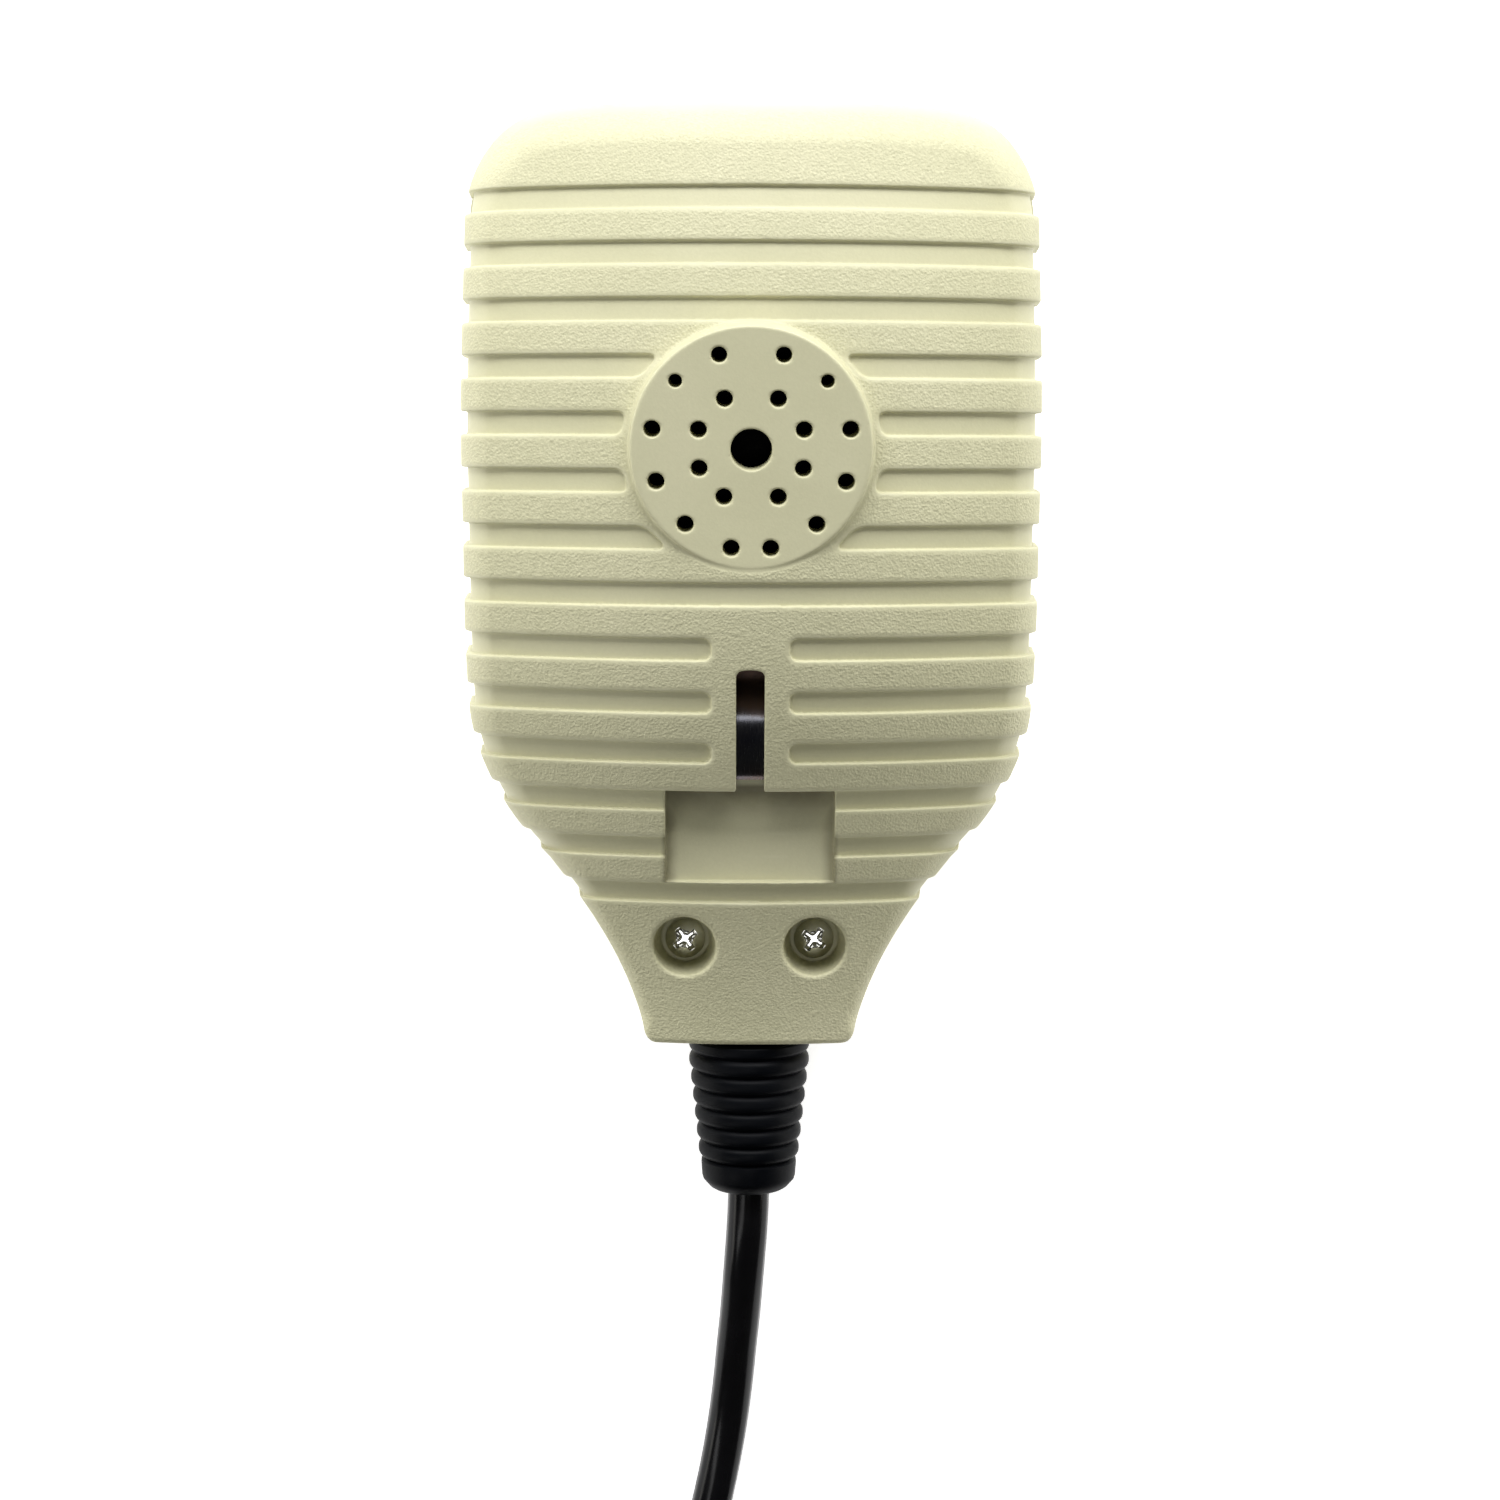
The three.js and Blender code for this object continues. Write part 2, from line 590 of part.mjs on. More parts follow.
function frontCover() {
  const outside = frontForm(0, FRONT_RIM);
  const hollow = frontForm(WALL, FRONT_RIM + 1, [90]);
  const shell = outside.subtract(hollow).add(unite(insideOfFront()).intersect(outside));
  const holeHalf = BOOT.holeRadius;
  const leafSlit = LEAF.thick / 2 + 0.25;
  return cutAll(shell, [
    ...soundSlots(),
    ...frontGrooves(),
    ...talkCuts(),
    bootHole(),
    block([-holeHalf, -FAR, BOOT.height], [holeHalf, BOTTOM_END + BOOT.holeDepth, FAR]),
    ...bothSides((s) => postHole(s * SCREW.x, SCREW.y, 2.4, SCREW.shankRadius + 0.1)),
    ...bothSides((s) => postHole(s * BOARD.screwX, BOARD.y, 2.6, 0.9)),
    ...bothSides((s) => postHole(s * CLAMP.screwX, CLAMP.y, 4, 0.9)),
    rod([0, CLAMP.y - 4, BOOT.height], [0, CLAMP.y + 4, BOOT.height], CORD.radius + GAP, 16),
    block([LEAF.x - leafSlit, LEAF.pivotY - 2, LEAF.bottom - 0.4], [LEAF.x + leafSlit, LEAF.pivotY + 2, FAR]),
  ]);
}

// ---------------------------------------------------------------- talk bar and its switch

function talkBar() {
  const EAR = { x0: 25.9, x1: 28.4, halfY: 2.2, lower: 0.3 };
  const body = block([28.9, TALK.low, TALK.bottom], [TALK.face, TALK.high, TALK.top]);
  const flange = block([28.0, TALK.pinY - 1.8, TALK.bottom], [29.2, TALK.high, TALK.top]);
  const inner = block([27.2, TALK.pinY, 4.2], [28.2, TALK.high - 2, 7.8]);
  const ear = block(
    [EAR.x0, TALK.pinY - EAR.halfY, TALK.bottom + EAR.lower],
    [EAR.x1, TALK.pinY + EAR.halfY, TALK.top - EAR.lower],
  );
  const nose = block([25.6, SWITCH.plungerY - 1.3, 4.8], [27.6, SWITCH.plungerY + 1.3, 7.4]);
  const bore = rod([TALK.pinX, TALK.pinY, 0], [TALK.pinX, TALK.pinY, FAR], TALK.pinRadius + 0.1, 16);
  return unite([body, flange, inner, ear, nose]).subtract(bore);
}

function talkPin() {
  return rod([TALK.pinX, TALK.pinY, WALL - 0.6], [TALK.pinX, TALK.pinY, FRONT_RIM - 0.1], TALK.pinRadius, 16);
}

// A straight blade with a rolled tip that bears on the back of the talk bar.
function returnLeaf() {
  const TIP = { x: LEAF.x + 1.3, y: LEAF.tipY + 1, radius: 1.4 };
  const half = LEAF.thick / 2;
  const blade = block([LEAF.x - half, LEAF.tipY, LEAF.bottom], [LEAF.x + half, LEAF.pivotY + 1.5, LEAF.top]);
  const tip = rod([TIP.x, TIP.y, LEAF.bottom], [TIP.x, TIP.y, LEAF.top], TIP.radius, 12);
  return blade.add(tip.intersect(block([LEAF.x - half, 0, 0], [FAR, FAR, FAR])));
}

function switchBody() {
  const body = block([SWITCH.x0, SWITCH.y0, SWITCH.z0], [SWITCH.x1, SWITCH.y1, SWITCH.z1]);
  const bore = block([SWITCH.x1 - 1.5, SWITCH.plungerY - 1.2, 5.1], [FAR, SWITCH.plungerY + 1.2, 7.1]);
  return body.subtract(bore);
}

function switchPlunger() {
  return block([SWITCH.x1 - 0.8, SWITCH.plungerY - 1, 5.3], [25.6 - GAP / 3, SWITCH.plungerY + 1, 6.9]);
}

function switchTag(i) {
  const PITCH = 5;
  const HALF_WIDTH = 0.5;
  const y = SWITCH.y0 + 1.4 + i * PITCH;
  return blockGeometry([SWITCH.x0 - 3.2, y - HALF_WIDTH, 5.8], [SWITCH.x0 - GAP, y + HALF_WIDTH, 6.3]);
}

// ---------------------------------------------------------------- fasteners

// A pan-head screw with a cross recess, pointing down from a seat at the origin.
function crossScrew({ headRadius, headHeight, shankRadius, length, sides }) {
  const profile = [
    [0, -length],
    [shankRadius * 0.3, -length],
    [shankRadius, -length + shankRadius],
    [shankRadius, GAP / 2],
    [headRadius, GAP / 2],
    [headRadius, headHeight * 0.55],
    [headRadius * 0.72, headHeight * 0.9],
    [0, headHeight],
  ];
  const turned = toSolid(turnedGeometry(profile, sides));
  const reach = headRadius * 0.62;
  const blade = headRadius * 0.16;
  const floor = headHeight * 0.4;
  const arm = (halfX, halfY) => block([-halfX, -halfY, floor], [halfX, halfY, FAR]);
  return toGeometry(cutAll(turned, [arm(reach, blade), arm(blade, reach)]));
}

// ---------------------------------------------------------------- hanger spring

function springScrewHole() {
  return rod([0, SPRING.screwY, 0], [0, SPRING.screwY, recessFloor(SPRING.screwY) + 1], 1.15, 12);
}

// A bent strip: a flat foot, a rise to a rounded grip and a turned-down free end.
function hangerSpring() {
  const floor = (y) => recessFloor(y) + GAP;
  const lower = [
    [SPRING.footTop, floor(SPRING.footTop)],
    [SPRING.footEnd, floor(SPRING.footEnd)],
    [-11.8, 26.2],
    [-12.7, 26.6],
    [-15.4, 26.4],
    [-17.6, 25.6],
    [-19.3, 24.9],
    [-20.1, 25.1],
  ];
  const upper = lower.map(([y, z]) => [y, z + SPRING.thick]).reverse();
  const strip = sideProfile([...lower, ...upper], -SPRING.half, SPRING.half);
  return strip.subtract(rod([0, SPRING.screwY, 0], [0, SPRING.screwY, FAR], 1.25, 12));
}

// ---------------------------------------------------------------- strain relief, clamp and inner parts

// The boot's axis runs along -Y; its profile is [radius, distance from the case's end face].
function bootProfile() {
  const FLANGE = { radius: 5.0, from: -5.2, to: -3.4 };
  const NECK = 4.0;
  const COLLAR = 0.6;
  const VALLEY = 0.75;
  const TAPER = 0.22;
  const SLEEVE = 5.4;
  const ROUNDING = 0.9;
  const points = [[0, FLANGE.from], [FLANGE.radius, FLANGE.from], [FLANGE.radius, FLANGE.to]];
  const first = BOTTOM_END - BOOT.firstRib;
  points.push([NECK, FLANGE.to], [NECK, COLLAR]);
  points.push([BOOT.collarRadius, COLLAR], [BOOT.collarRadius, first - BOOT.ribPitch + 0.55]);
  for (let i = 0; i < BOOT.ribs; i += 1) {
    const centre = first + i * BOOT.ribPitch;
    const radius = BOOT.collarRadius - i * TAPER;
    points.push([radius - VALLEY, centre - 0.7], [radius, centre - 0.5], [radius, centre + 0.6]);
  }
  const end = BOTTOM_END - BOOT.end;
  points.push([SLEEVE, first + BOOT.ribs * BOOT.ribPitch - ROUNDING]);
  points.push([SLEEVE, end - ROUNDING], [SLEEVE - ROUNDING, end], [0, end]);
  return points;
}

function bootGeometry() {
  return turnedGeometry(bootProfile(), 14).rotateX(Math.PI / 2).translate(0, BOTTOM_END, BOOT.height);
}

function cordClamp() {
  const bar = block(
    [-CLAMP.screwX - 2, CLAMP.y - CLAMP.halfY, CLAMP.bottom],
    [CLAMP.screwX + 2, CLAMP.y + CLAMP.halfY, CLAMP.bottom + CLAMP.thick],
  );
  const holes = bothSides((s) => postHole(s * CLAMP.screwX, CLAMP.y, 0, 1.1));
  return cutAll(bar, holes);
}

function board() {
  const plate = block(
    [-BOARD.halfX, BOARD.y - BOARD.halfY, BOARD.bottom],
    [BOARD.halfX, BOARD.y + BOARD.halfY, BOARD.bottom + BOARD.thick],
  );
  const holes = bothSides((s) => postHole(s * BOARD.screwX, BOARD.y, 0, 1.1));
  return cutAll(plate, holes);
}

function capsule() {
  const { x, y, radius } = CAPSULE;
  const can = [[0, 0], [radius, 0], [radius, 8.5], [radius - 1.2, 10], [4, 10], [4, 11.2], [0, 11.2]];
  return turnedGeometry(can, 28).translate(x, y, 3.9);
}

function capsuleHolder() {
  const { x, y, radius } = CAPSULE;
  const inner = radius + GAP;
  const ring = [[inner, 0.5], [13.9, 0.5], [13.9, 6.4], [13.2, 7], [inner, 7], [inner, 0.5]];
  return turnedGeometry(ring, 28).translate(x, y, 2.9);
}

// ---------------------------------------------------------------- cord

// The curly stretch lies as an open ring; only its outer form is modelled here.
class RingArc extends THREE.Curve {
  getPoint(t, target = new THREE.Vector3()) {
    const angle = THREE.MathUtils.degToRad(RING.start + t * RING.sweep);
    const x = RING.x + RING.radius * Math.cos(angle);
    const y = RING.y + RING.radius * Math.sin(angle);
    return target.set(x, y, CORD.curlRadius);
  }
}

const CORD_TAIL = [
  [0, -70.6, 9.75],
  [-0.2, -75, 9.5],
  [-0.6, -80, 8.5],
  [-1.05, -85, 6.9],
  [-1.6, -90, 5.2],
  [-2.15, -95, 3.8],
  [-2.8, -100, 2.85],
  [-3.6, -105.5, 2.4],
  [-4.5, -111.3, 2.4],
];

const PLUG_TAIL = [
  [7.9, -130.9, 3.6],
  [6.3, -133.5, 5.1],
  [5.3, -136.7, 7],
  [5, -139.9, 8.6],
  [5, -143, 9.35],
  [5, -145.7, 9.5],
];

// ---------------------------------------------------------------- plug, drawn along +Z from its cord end

const PLUG_SCREW_PLACES = [2.4, 6.2];

function plugShell() {
  const CORD_HOLE = CORD.radius + 0.55;
  const profile = [
    [CORD_HOLE, 0], [SHELL.cordEnd, 0], [SHELL.cordEnd, 8.6], [SHELL.body, 11.4], [SHELL.body, 19],
    [SHELL.nose, 19.4], [SHELL.nose, SHELL.length], [SHELL.bore, SHELL.length], [SHELL.bore, 16.2],
    [CORD_HOLE, 12], [CORD_HOLE, 0],
  ];
  const body = toSolid(turnedGeometry(profile, 20));
  const holes = PLUG_SCREW_PLACES.map((z) => rod([0, 0, z], [0, FAR, z], 1.1, 10));
  return cutAll(body, holes);
}

function plugRing() {
  const profile = [[8.3, 20], [9.3, 20.6], [9.3, 32.6], [8.7, 33.4], [7.9, 33.4], [7.9, 31], [8.3, 20]];
  return turnedGeometry(profile, 32);
}

// All contacts but the last stand on a circle, and the last is in the middle.
function contactPlaces() {
  const CIRCLE = 4.1;
  const onCircle = PLUG.contacts - 1;
  const places = [];
  for (let i = 0; i < onCircle; i += 1) {
    const angle = (i * 2 * Math.PI) / onCircle;
    places.push([CIRCLE * Math.cos(angle), CIRCLE * Math.sin(angle)]);
  }
  return [...places, [0, 0]];
}

function plugInsert() {
  const SOCKET = 1.05;
  const body = rod([0, 0, 17.2], [0, 0, 28.6], SHELL.bore - GAP, 24);
  return cutAll(body, contactPlaces().map(([x, y]) => rod([x, y, 0], [x, y, FAR], SOCKET, 10)));
}

function plugContact([x, y]) {
  return rodGeometry([x, y, 15], [x, y, 28], 0.75, 8);
}

// ---------------------------------------------------------------- assembly

const group = new THREE.Group();
group.name = 'hand_microphone';

function addPiece(parent, name, shape, finish, position = [0, 0, 0]) {
  const geometry = shape.isBufferGeometry ? shape : toGeometry(shape);
  const mesh = new THREE.Mesh(geometry, new THREE.MeshStandardMaterial(FINISHES[finish]));
  mesh.name = name;
  mesh.position.set(...position);
  parent.add(mesh);
}

// Two like screws, NAME_left and NAME_right.
function addScrewPair(name, details, [x, y, seat]) {
  bothSides((s) => {
    const side = s < 0 ? 'left' : 'right';
    addPiece(group, `${name}_${side}`, crossScrew(details), 'steel', [s * x, y, seat]);
  });
}

function addCase() {
  addPiece(group, 'rear_cover', rearCover(), 'case');
  addPiece(group, 'front_cover', frontCover(), 'case');
  addScrewPair('case_screw', CASE_SCREW, [SCREW.x, SCREW.y, SCREW.seat]);
  addPiece(group, 'hanger_spring', hangerSpring(), 'spring');
  const springSeat = recessFloor(SPRING.screwY) - 1.75;
  const springScrew = crossScrew(SPRING_SCREW).rotateX(Math.PI);
  addPiece(group, 'hanger_spring_screw', springScrew, 'steel', [0, SPRING.screwY, springSeat]);
  addPiece(group, 'vent_felt', rodGeometry([0, DISC.y, 28.4], [0, DISC.y, 29.4], 11.3, 28), 'cloth');
}

function addInside() {
  const { x, y } = CAPSULE;
  addPiece(group, 'grille_cloth', rodGeometry([x, y, WALL + GAP], [x, y, WALL + 0.8], 13.9, 28), 'cloth');
  addPiece(group, 'mic_capsule', capsule(), 'nickel');
  addPiece(group, 'capsule_holder', capsuleHolder(), 'dark');
  addPiece(group, 'circuit_board', board(), 'board');
  addScrewPair('board_screw', BOARD_SCREW, [BOARD.screwX, BOARD.y, BOARD.bottom + BOARD.thick]);
  const top = BOARD.bottom + BOARD.thick + GAP;
  addPiece(group, 'board_capacitor', rodGeometry([-3.5, -9.5, top], [-3.5, -9.5, top + 7], 2.5, 16), 'blue');
  addPiece(group, 'board_resistor', rodGeometry([2, -16, top + 1], [8, -16, top + 1], 1, 10), 'board');
}

function addTalkSwitch() {
  addPiece(group, 'talk_bar', talkBar(), 'dark');
  addPiece(group, 'talk_bar_pin', talkPin(), 'steel');
  addPiece(group, 'talk_return_leaf', returnLeaf(), 'spring');
  addPiece(group, 'talk_switch_body', switchBody(), 'insulator');
  addPiece(group, 'talk_switch_plunger', switchPlunger(), 'red');
  for (let i = 0; i < SWITCH.tags; i += 1) {
    addPiece(group, `talk_switch_tag_${i + 1}`, switchTag(i), 'brass');
  }
}

function addLeads() {
  const lead = (name, points, finish) => {
    addPiece(group, name, tubeGeometry(throughPoints(points), 0.6, 8, 12), finish);
  };
  const toCapsule = [[-1.4, -26, 9.8], [-5, -22, 12], [-13.5, -12, 12], [-15, 0, 14], [-9, 10, 16.4]];
  const toBoard = [[0.2, -26, 9.8], [0.4, -22.5, 10.6], [1.2, -20, 10.2], [1.6, -18.6, 9]];
  const toSwitch = [[1.6, -26, 9.8], [5, -22, 12], [13, -10, 11.6], [15.4, 0.5, 8.4], [15.6, 2.2, 7.2]];
  lead('lead_to_capsule', toCapsule, 'red');
  lead('lead_to_board', toBoard, 'white');
  lead('lead_to_switch', toSwitch, 'blue');
}

function addCord() {
  const innerEnd = rodGeometry([0, -45.2, BOOT.height], [0, -27, BOOT.height], CORD.radius, 12);
  addPiece(group, 'strain_relief_boot', bootGeometry(), 'boot');
  addPiece(group, 'cord_inner_end', innerEnd, 'jacket');
  addPiece(group, 'cord_clamp', cordClamp(), 'steel');
  addScrewPair('cord_clamp_screw', CLAMP_SCREW, [CLAMP.screwX, CLAMP.y, CLAMP.bottom + CLAMP.thick]);
  addPiece(group, 'cord_tail', tubeGeometry(throughPoints(CORD_TAIL), CORD.radius, 8, 14), 'jacket');
  const section = CORD.curlRadius / Math.cos(Math.PI / 12);
  addPiece(group, 'cord_curl', tubeGeometry(new RingArc(), section, 12, 30), 'jacket');
  addPiece(group, 'plug_tail', tubeGeometry(throughPoints(PLUG_TAIL), CORD.radius, 8, 10), 'jacket');
}

function addPlug() {
  const plug = new THREE.Group();
  plug.position.set(PLUG.x, PLUG.y, PLUG.height);
  plug.rotation.x = Math.PI / 2;
  group.add(plug);
  addPiece(plug, 'plug_shell', plugShell(), 'nickel');
  addPiece(plug, 'plug_coupling_ring', plugRing(), 'nickel');
  addPiece(plug, 'plug_insert', plugInsert(), 'insulator');
  contactPlaces().forEach((place, i) => {
    addPiece(plug, `plug_contact_${i + 1}`, plugContact(place), 'brass');
  });
  PLUG_SCREW_PLACES.forEach((z, i) => {
    const screw = crossScrew(PLUG_SCREW).rotateX(-Math.PI / 2);
    addPiece(plug, `plug_clamp_screw_${i + 1}`, screw, 'steel', [0, SHELL.cordEnd, z]);
  });
}

addCase();
addInside();
addTalkSwitch();
addLeads();
addCord();
addPlug();

export default group;
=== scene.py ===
"""Hand microphone lying on its front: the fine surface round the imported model.

Lengths are written in millimetres and scaled to metres where meshes are made. The case's form
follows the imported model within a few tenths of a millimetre. Each piece is built by its own
function, and so is each material.
"""

import json
import math

import bmesh
import bpy
import numpy as np
import openvdb
from mathutils import Matrix, Vector


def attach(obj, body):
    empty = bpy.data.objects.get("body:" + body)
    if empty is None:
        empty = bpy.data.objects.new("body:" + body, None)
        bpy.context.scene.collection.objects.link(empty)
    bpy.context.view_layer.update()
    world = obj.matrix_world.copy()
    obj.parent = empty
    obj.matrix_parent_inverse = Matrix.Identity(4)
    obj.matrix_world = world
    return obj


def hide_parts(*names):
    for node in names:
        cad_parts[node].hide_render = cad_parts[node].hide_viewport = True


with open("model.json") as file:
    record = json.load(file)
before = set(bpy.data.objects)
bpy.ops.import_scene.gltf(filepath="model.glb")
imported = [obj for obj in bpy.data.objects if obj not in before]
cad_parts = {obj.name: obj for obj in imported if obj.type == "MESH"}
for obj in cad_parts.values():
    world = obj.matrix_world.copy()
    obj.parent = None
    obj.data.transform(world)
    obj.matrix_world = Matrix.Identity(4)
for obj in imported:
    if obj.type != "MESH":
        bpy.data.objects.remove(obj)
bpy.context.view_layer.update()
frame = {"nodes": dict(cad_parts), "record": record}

MM = 0.001

# ---------------------------------------- dimensions of the case

TOP_END = 50.85
BOTTOM_END = -51.4
CROWN = {"y": 16.5, "height": 35.0, "cross_radius": 59.0}
REAR_RIM = 11.65
FRONT_RIM = 11.35
WALL = 2.2
GROOVE_DEPTH = {"face": 0.5, "side": 0.75}
REAR_DRAFT = math.tan(math.radians(4))
GROOVES = {"pitch": 5.87, "width": 2.42, "shift": 0.32, "first": -4, "last": 9}
ROUND_FIELD = {"radius": 13.4, "grooves": (-1, 0, 1, 2)}
STRIP_FIELD = {"half": 4.1, "grooves": (4, 5, 6)}
GROOVE_END = 0.9
DISC = {"y": 14.88, "radius": 12.45, "tilt": math.radians(5.3), "centre_y": -0.15, "centre_hole": 2.13}
HOLE_RINGS = (
    (10.05, (19.2,), 0.82),
    (10.35, (79.2, 109.3, 139.1), 0.87),
    (10.5, (168.8,), 0.87),
    (10.35, (48.7,), 0.7),
    (5.73, (28.7, 70.8, 111.2, 150.8), 0.86),
)
HANGER = {"slot_half": 1.5, "slot_top": -8.4, "lip": -21.6, "end": -32.0, "half": 9.1, "pocket_half": 7.5}
SCREW = {"x": 7.2, "y": -39.9, "pocket": 3.4, "seat": 13.2}
BOOT = {"height": 9.75, "hole": 4.4, "hole_depth": 6.6}
CASE_SCREW_SIZE = (2.25, 1.7, 1.25, 9.6)  # head radius, head height, shank radius, length
PLUG_SCREW_SIZE = (1.5, 0.9, 0.8, 3.0)

# ---------------------------------------- camera

VIEWPOINT = (-0.14, 17.25, 325)
VIEW_TILT, VIEW_ROLL = -6.585, 0.2  # degrees


def make_camera():
    data = bpy.data.cameras.new("camera")
    data.sensor_width = 36.0
    data.lens = 67.56
    data.clip_start = 0.01
    camera = bpy.data.objects.new("camera", data)
    camera.location = Vector(VIEWPOINT) * MM
    camera.rotation_euler = (math.radians(VIEW_TILT), 0, math.radians(VIEW_ROLL))
    bpy.context.collection.objects.link(camera)
    bpy.context.scene.camera = camera


# ---------------------------------------- cord

CORD_DIAMETER = 4.7
CORD_TAIL = [
    (0, -66, 9.75),
    (0, -70.6, 9.75),
    (-0.2, -75, 9.5),
    (-0.55, -80, 8.5),
    (-0.9, -85, 6.9),
    (-1.35, -90, 5.2),
    (-1.8, -95, 3.8),
    (-2.4, -100, 2.85),
    (-3.3, -105.5, 2.4),
    (-4.5, -111.3, 2.4),
]
PLUG_TAIL = [
    (8.9, -129.6, 2.9),
    (7.9, -130.9, 3.6),
    (6.3, -133.5, 5.1),
    (5.3, -136.7, 7.0),
    (5.0, -139.9, 8.6),
    (5.0, -143.0, 9.35),
    (5.0, -145.7, 9.5),
    (5.0, -150.0, 9.5),
]
CURL = {"x": -6.0, "y": -158.0, "ring": 39.0, "radius": 4.9, "height": 7.25, "turns": 40, "per_turn": 14}
CURL_FROM, CURL_TO = 90.0, 420.0


def curl_points():
    """The curly stretch: a helix whose axis is an open ring on the floor."""
    steps = round(CURL["turns"] * CURL["per_turn"])
    points = []
    for i in range(steps + 1):
        round_ring = math.radians(CURL_FROM + (CURL_TO - CURL_FROM) * i / steps)
        round_axis = -math.pi / 2 - 2 * math.pi * CURL["turns"] * i / steps
        reach = CURL["ring"] + CURL["radius"] * math.cos(round_axis)
        x = CURL["x"] + reach * math.cos(round_ring)
        y = CURL["y"] + reach * math.sin(round_ring)
        points.append((x, y, CURL["height"] + CURL["radius"] * math.sin(round_axis)))
    return points


def smooth_route(points, spacing):
    """Points about spacing apart on a centripetal Catmull-Rom curve through the given ones."""
    knots = [Vector(p) for p in points]
    knots = [2 * knots[0] - knots[1]] + knots + [2 * knots[-1] - knots[-2]]
    route = []
    for a, b, c, d in zip(knots, knots[1:], knots[2:], knots[3:]):
        t1 = math.sqrt((b - a).length)
        t2 = t1 + math.sqrt((c - b).length)
        t3 = t2 + math.sqrt((d - c).length)
        steps = max(1, round((c - b).length / spacing))
        for i in range(steps):
            t = t1 + (t2 - t1) * i / steps
            first = a.lerp(b, t / t1)
            middle = b.lerp(c, (t - t1) / (t2 - t1))
            last = c.lerp(d, (t - t2) / (t3 - t2))
            early = first.lerp(middle, t / t2)
            late = middle.lerp(last, (t - t1) / (t3 - t1))
            route.append(early.lerp(late, (t - t1) / (t2 - t1)))
    route.append(knots[-2])
    return route


def make_cord():
    route = smooth_route(CORD_TAIL + curl_points() + PLUG_TAIL, 1.1)
    curve = bpy.data.curves.new("cord", "CURVE")
    curve.dimensions = "3D"
    curve.bevel_depth = 1
    curve.bevel_resolution = 4
    curve.use_fill_caps = True
    spline = curve.splines.new("POLY")
    spline.points.add(len(route) - 1)
    for point, place in zip(spline.points, route):
        point.co = (*(place * MM), 1)
        point.radius = CORD_DIAMETER / 2 * MM
    spline.use_smooth = True
    cord = bpy.data.objects.new("cord", curve)
    bpy.context.collection.objects.link(cord)
    length = sum((b - a).length for a, b in zip(route, route[1:])) * MM
    return cord, length


# ---------------------------------------- signed distances, in millimetres
# A field is negative inside the material. Arrays broadcast as x, y, z.


def cut_round(a, b, radius):
    """What lies in both a and b, with the edge between them rounded."""
    reach = np.sqrt(np.maximum(a + radius, 0) ** 2 + np.maximum(b + radius, 0) ** 2)
    return np.minimum(np.maximum(a, b), -radius) + reach


def join_round(a, b, radius):
    """What lies in a or b, with a fillet between them."""
    reach = np.sqrt(np.maximum(radius - a, 0) ** 2 + np.maximum(radius - b, 0) ** 2)
    return np.maximum(np.minimum(a, b), radius) - reach


def ease(value, low, high):
    t = np.clip((value - low) / (high - low), 0, 1)
    return t * t * (3 - 2 * t)


def box_field(x, y, z, low, high, rounding=0.0):
    """A box with rounded edges."""
    beyond = []
    for value, lo, hi in zip((x, y, z), low, high):
        beyond.append(np.abs(value - (lo + hi) / 2) - (hi - lo) / 2 + rounding)
    inner = np.minimum(np.maximum(np.maximum(beyond[0], beyond[1]), beyond[2]), 0)
    outer = np.sqrt(sum(np.maximum(b, 0) ** 2 for b in beyond))
    return inner + outer - rounding


class Grid:
    """Sample points in a box, one step along each axis, and the arrays x, y, z that broadcast over it."""

    def __init__(self, low, high, step):
        self.low = low
        self.step = step if isinstance(step, tuple) else (step, step, step)
        axes = [np.arange(lo, hi + s, s, dtype=np.float32) for lo, hi, s in zip(low, high, self.step)]
        self.x = axes[0][:, None, None]
        self.y = axes[1][None, :, None]
        self.z = axes[2][None, None, :]

    def part(self, low, high):
        """Slices of the box between two corners, with its x, y, z."""
        spans = []
        for axis, lo, hi in zip((self.x, self.y, self.z), low, high):
            values = axis.ravel()
            spans.append(slice(int(np.searchsorted(values, lo)), int(np.searchsorted(values, hi))))
        i, j, k = spans
        return (i, j, k), (self.x[i], self.y[:, j], self.z[:, :, k])


def mesh_from_field(name, field, grid, adaptivity):
    """The zero surface of a field as a mesh object, in metres."""
    band = 4 * max(grid.step)
    volume = openvdb.FloatGrid(band)
    volume.copyFromArray(np.ascontiguousarray(np.clip(field, -band, band), dtype=np.float32))
    points, triangles, quads = volume.convertToPolygons(isovalue=0.0, adaptivity=adaptivity)
    points = (points * np.array(grid.step) + np.array(grid.low)) * MM
    mesh = bpy.data.meshes.new(name)
    mesh.from_pydata(points.tolist(), [], quads.tolist() + triangles.tolist())
    mesh.polygons.foreach_set("use_smooth", [True] * len(mesh.polygons))
    mesh.update()
    piece = bpy.data.objects.new(name, mesh)
    bpy.context.collection.objects.link(piece)
    return piece


def vertex_places(mesh):
    """A mesh's vertices as x, y, z arrays in millimetres."""
    places = np.empty(len(mesh.vertices) * 3, dtype=np.float32)
    mesh.vertices.foreach_get("co", places)
    return (places.reshape(-1, 3) / MM).T


def paint(mesh, name, values):
    """Stores one number per vertex for the materials."""
    layer = mesh.attributes.new(name, "FLOAT", "POINT")
    layer.data.foreach_set("value", values.astype(np.float32))


# ---------------------------------------- the case's form


def bezier(a, b, c, d, steps):
    t = np.linspace(0, 1, steps + 1)[:, None]
    a, b, c, d = (np.array(p, dtype=float) for p in (a, b, c, d))
    return a * (1 - t) ** 3 + 3 * b * t * (1 - t) ** 2 + 3 * c * t**2 * (1 - t) + d * t**3


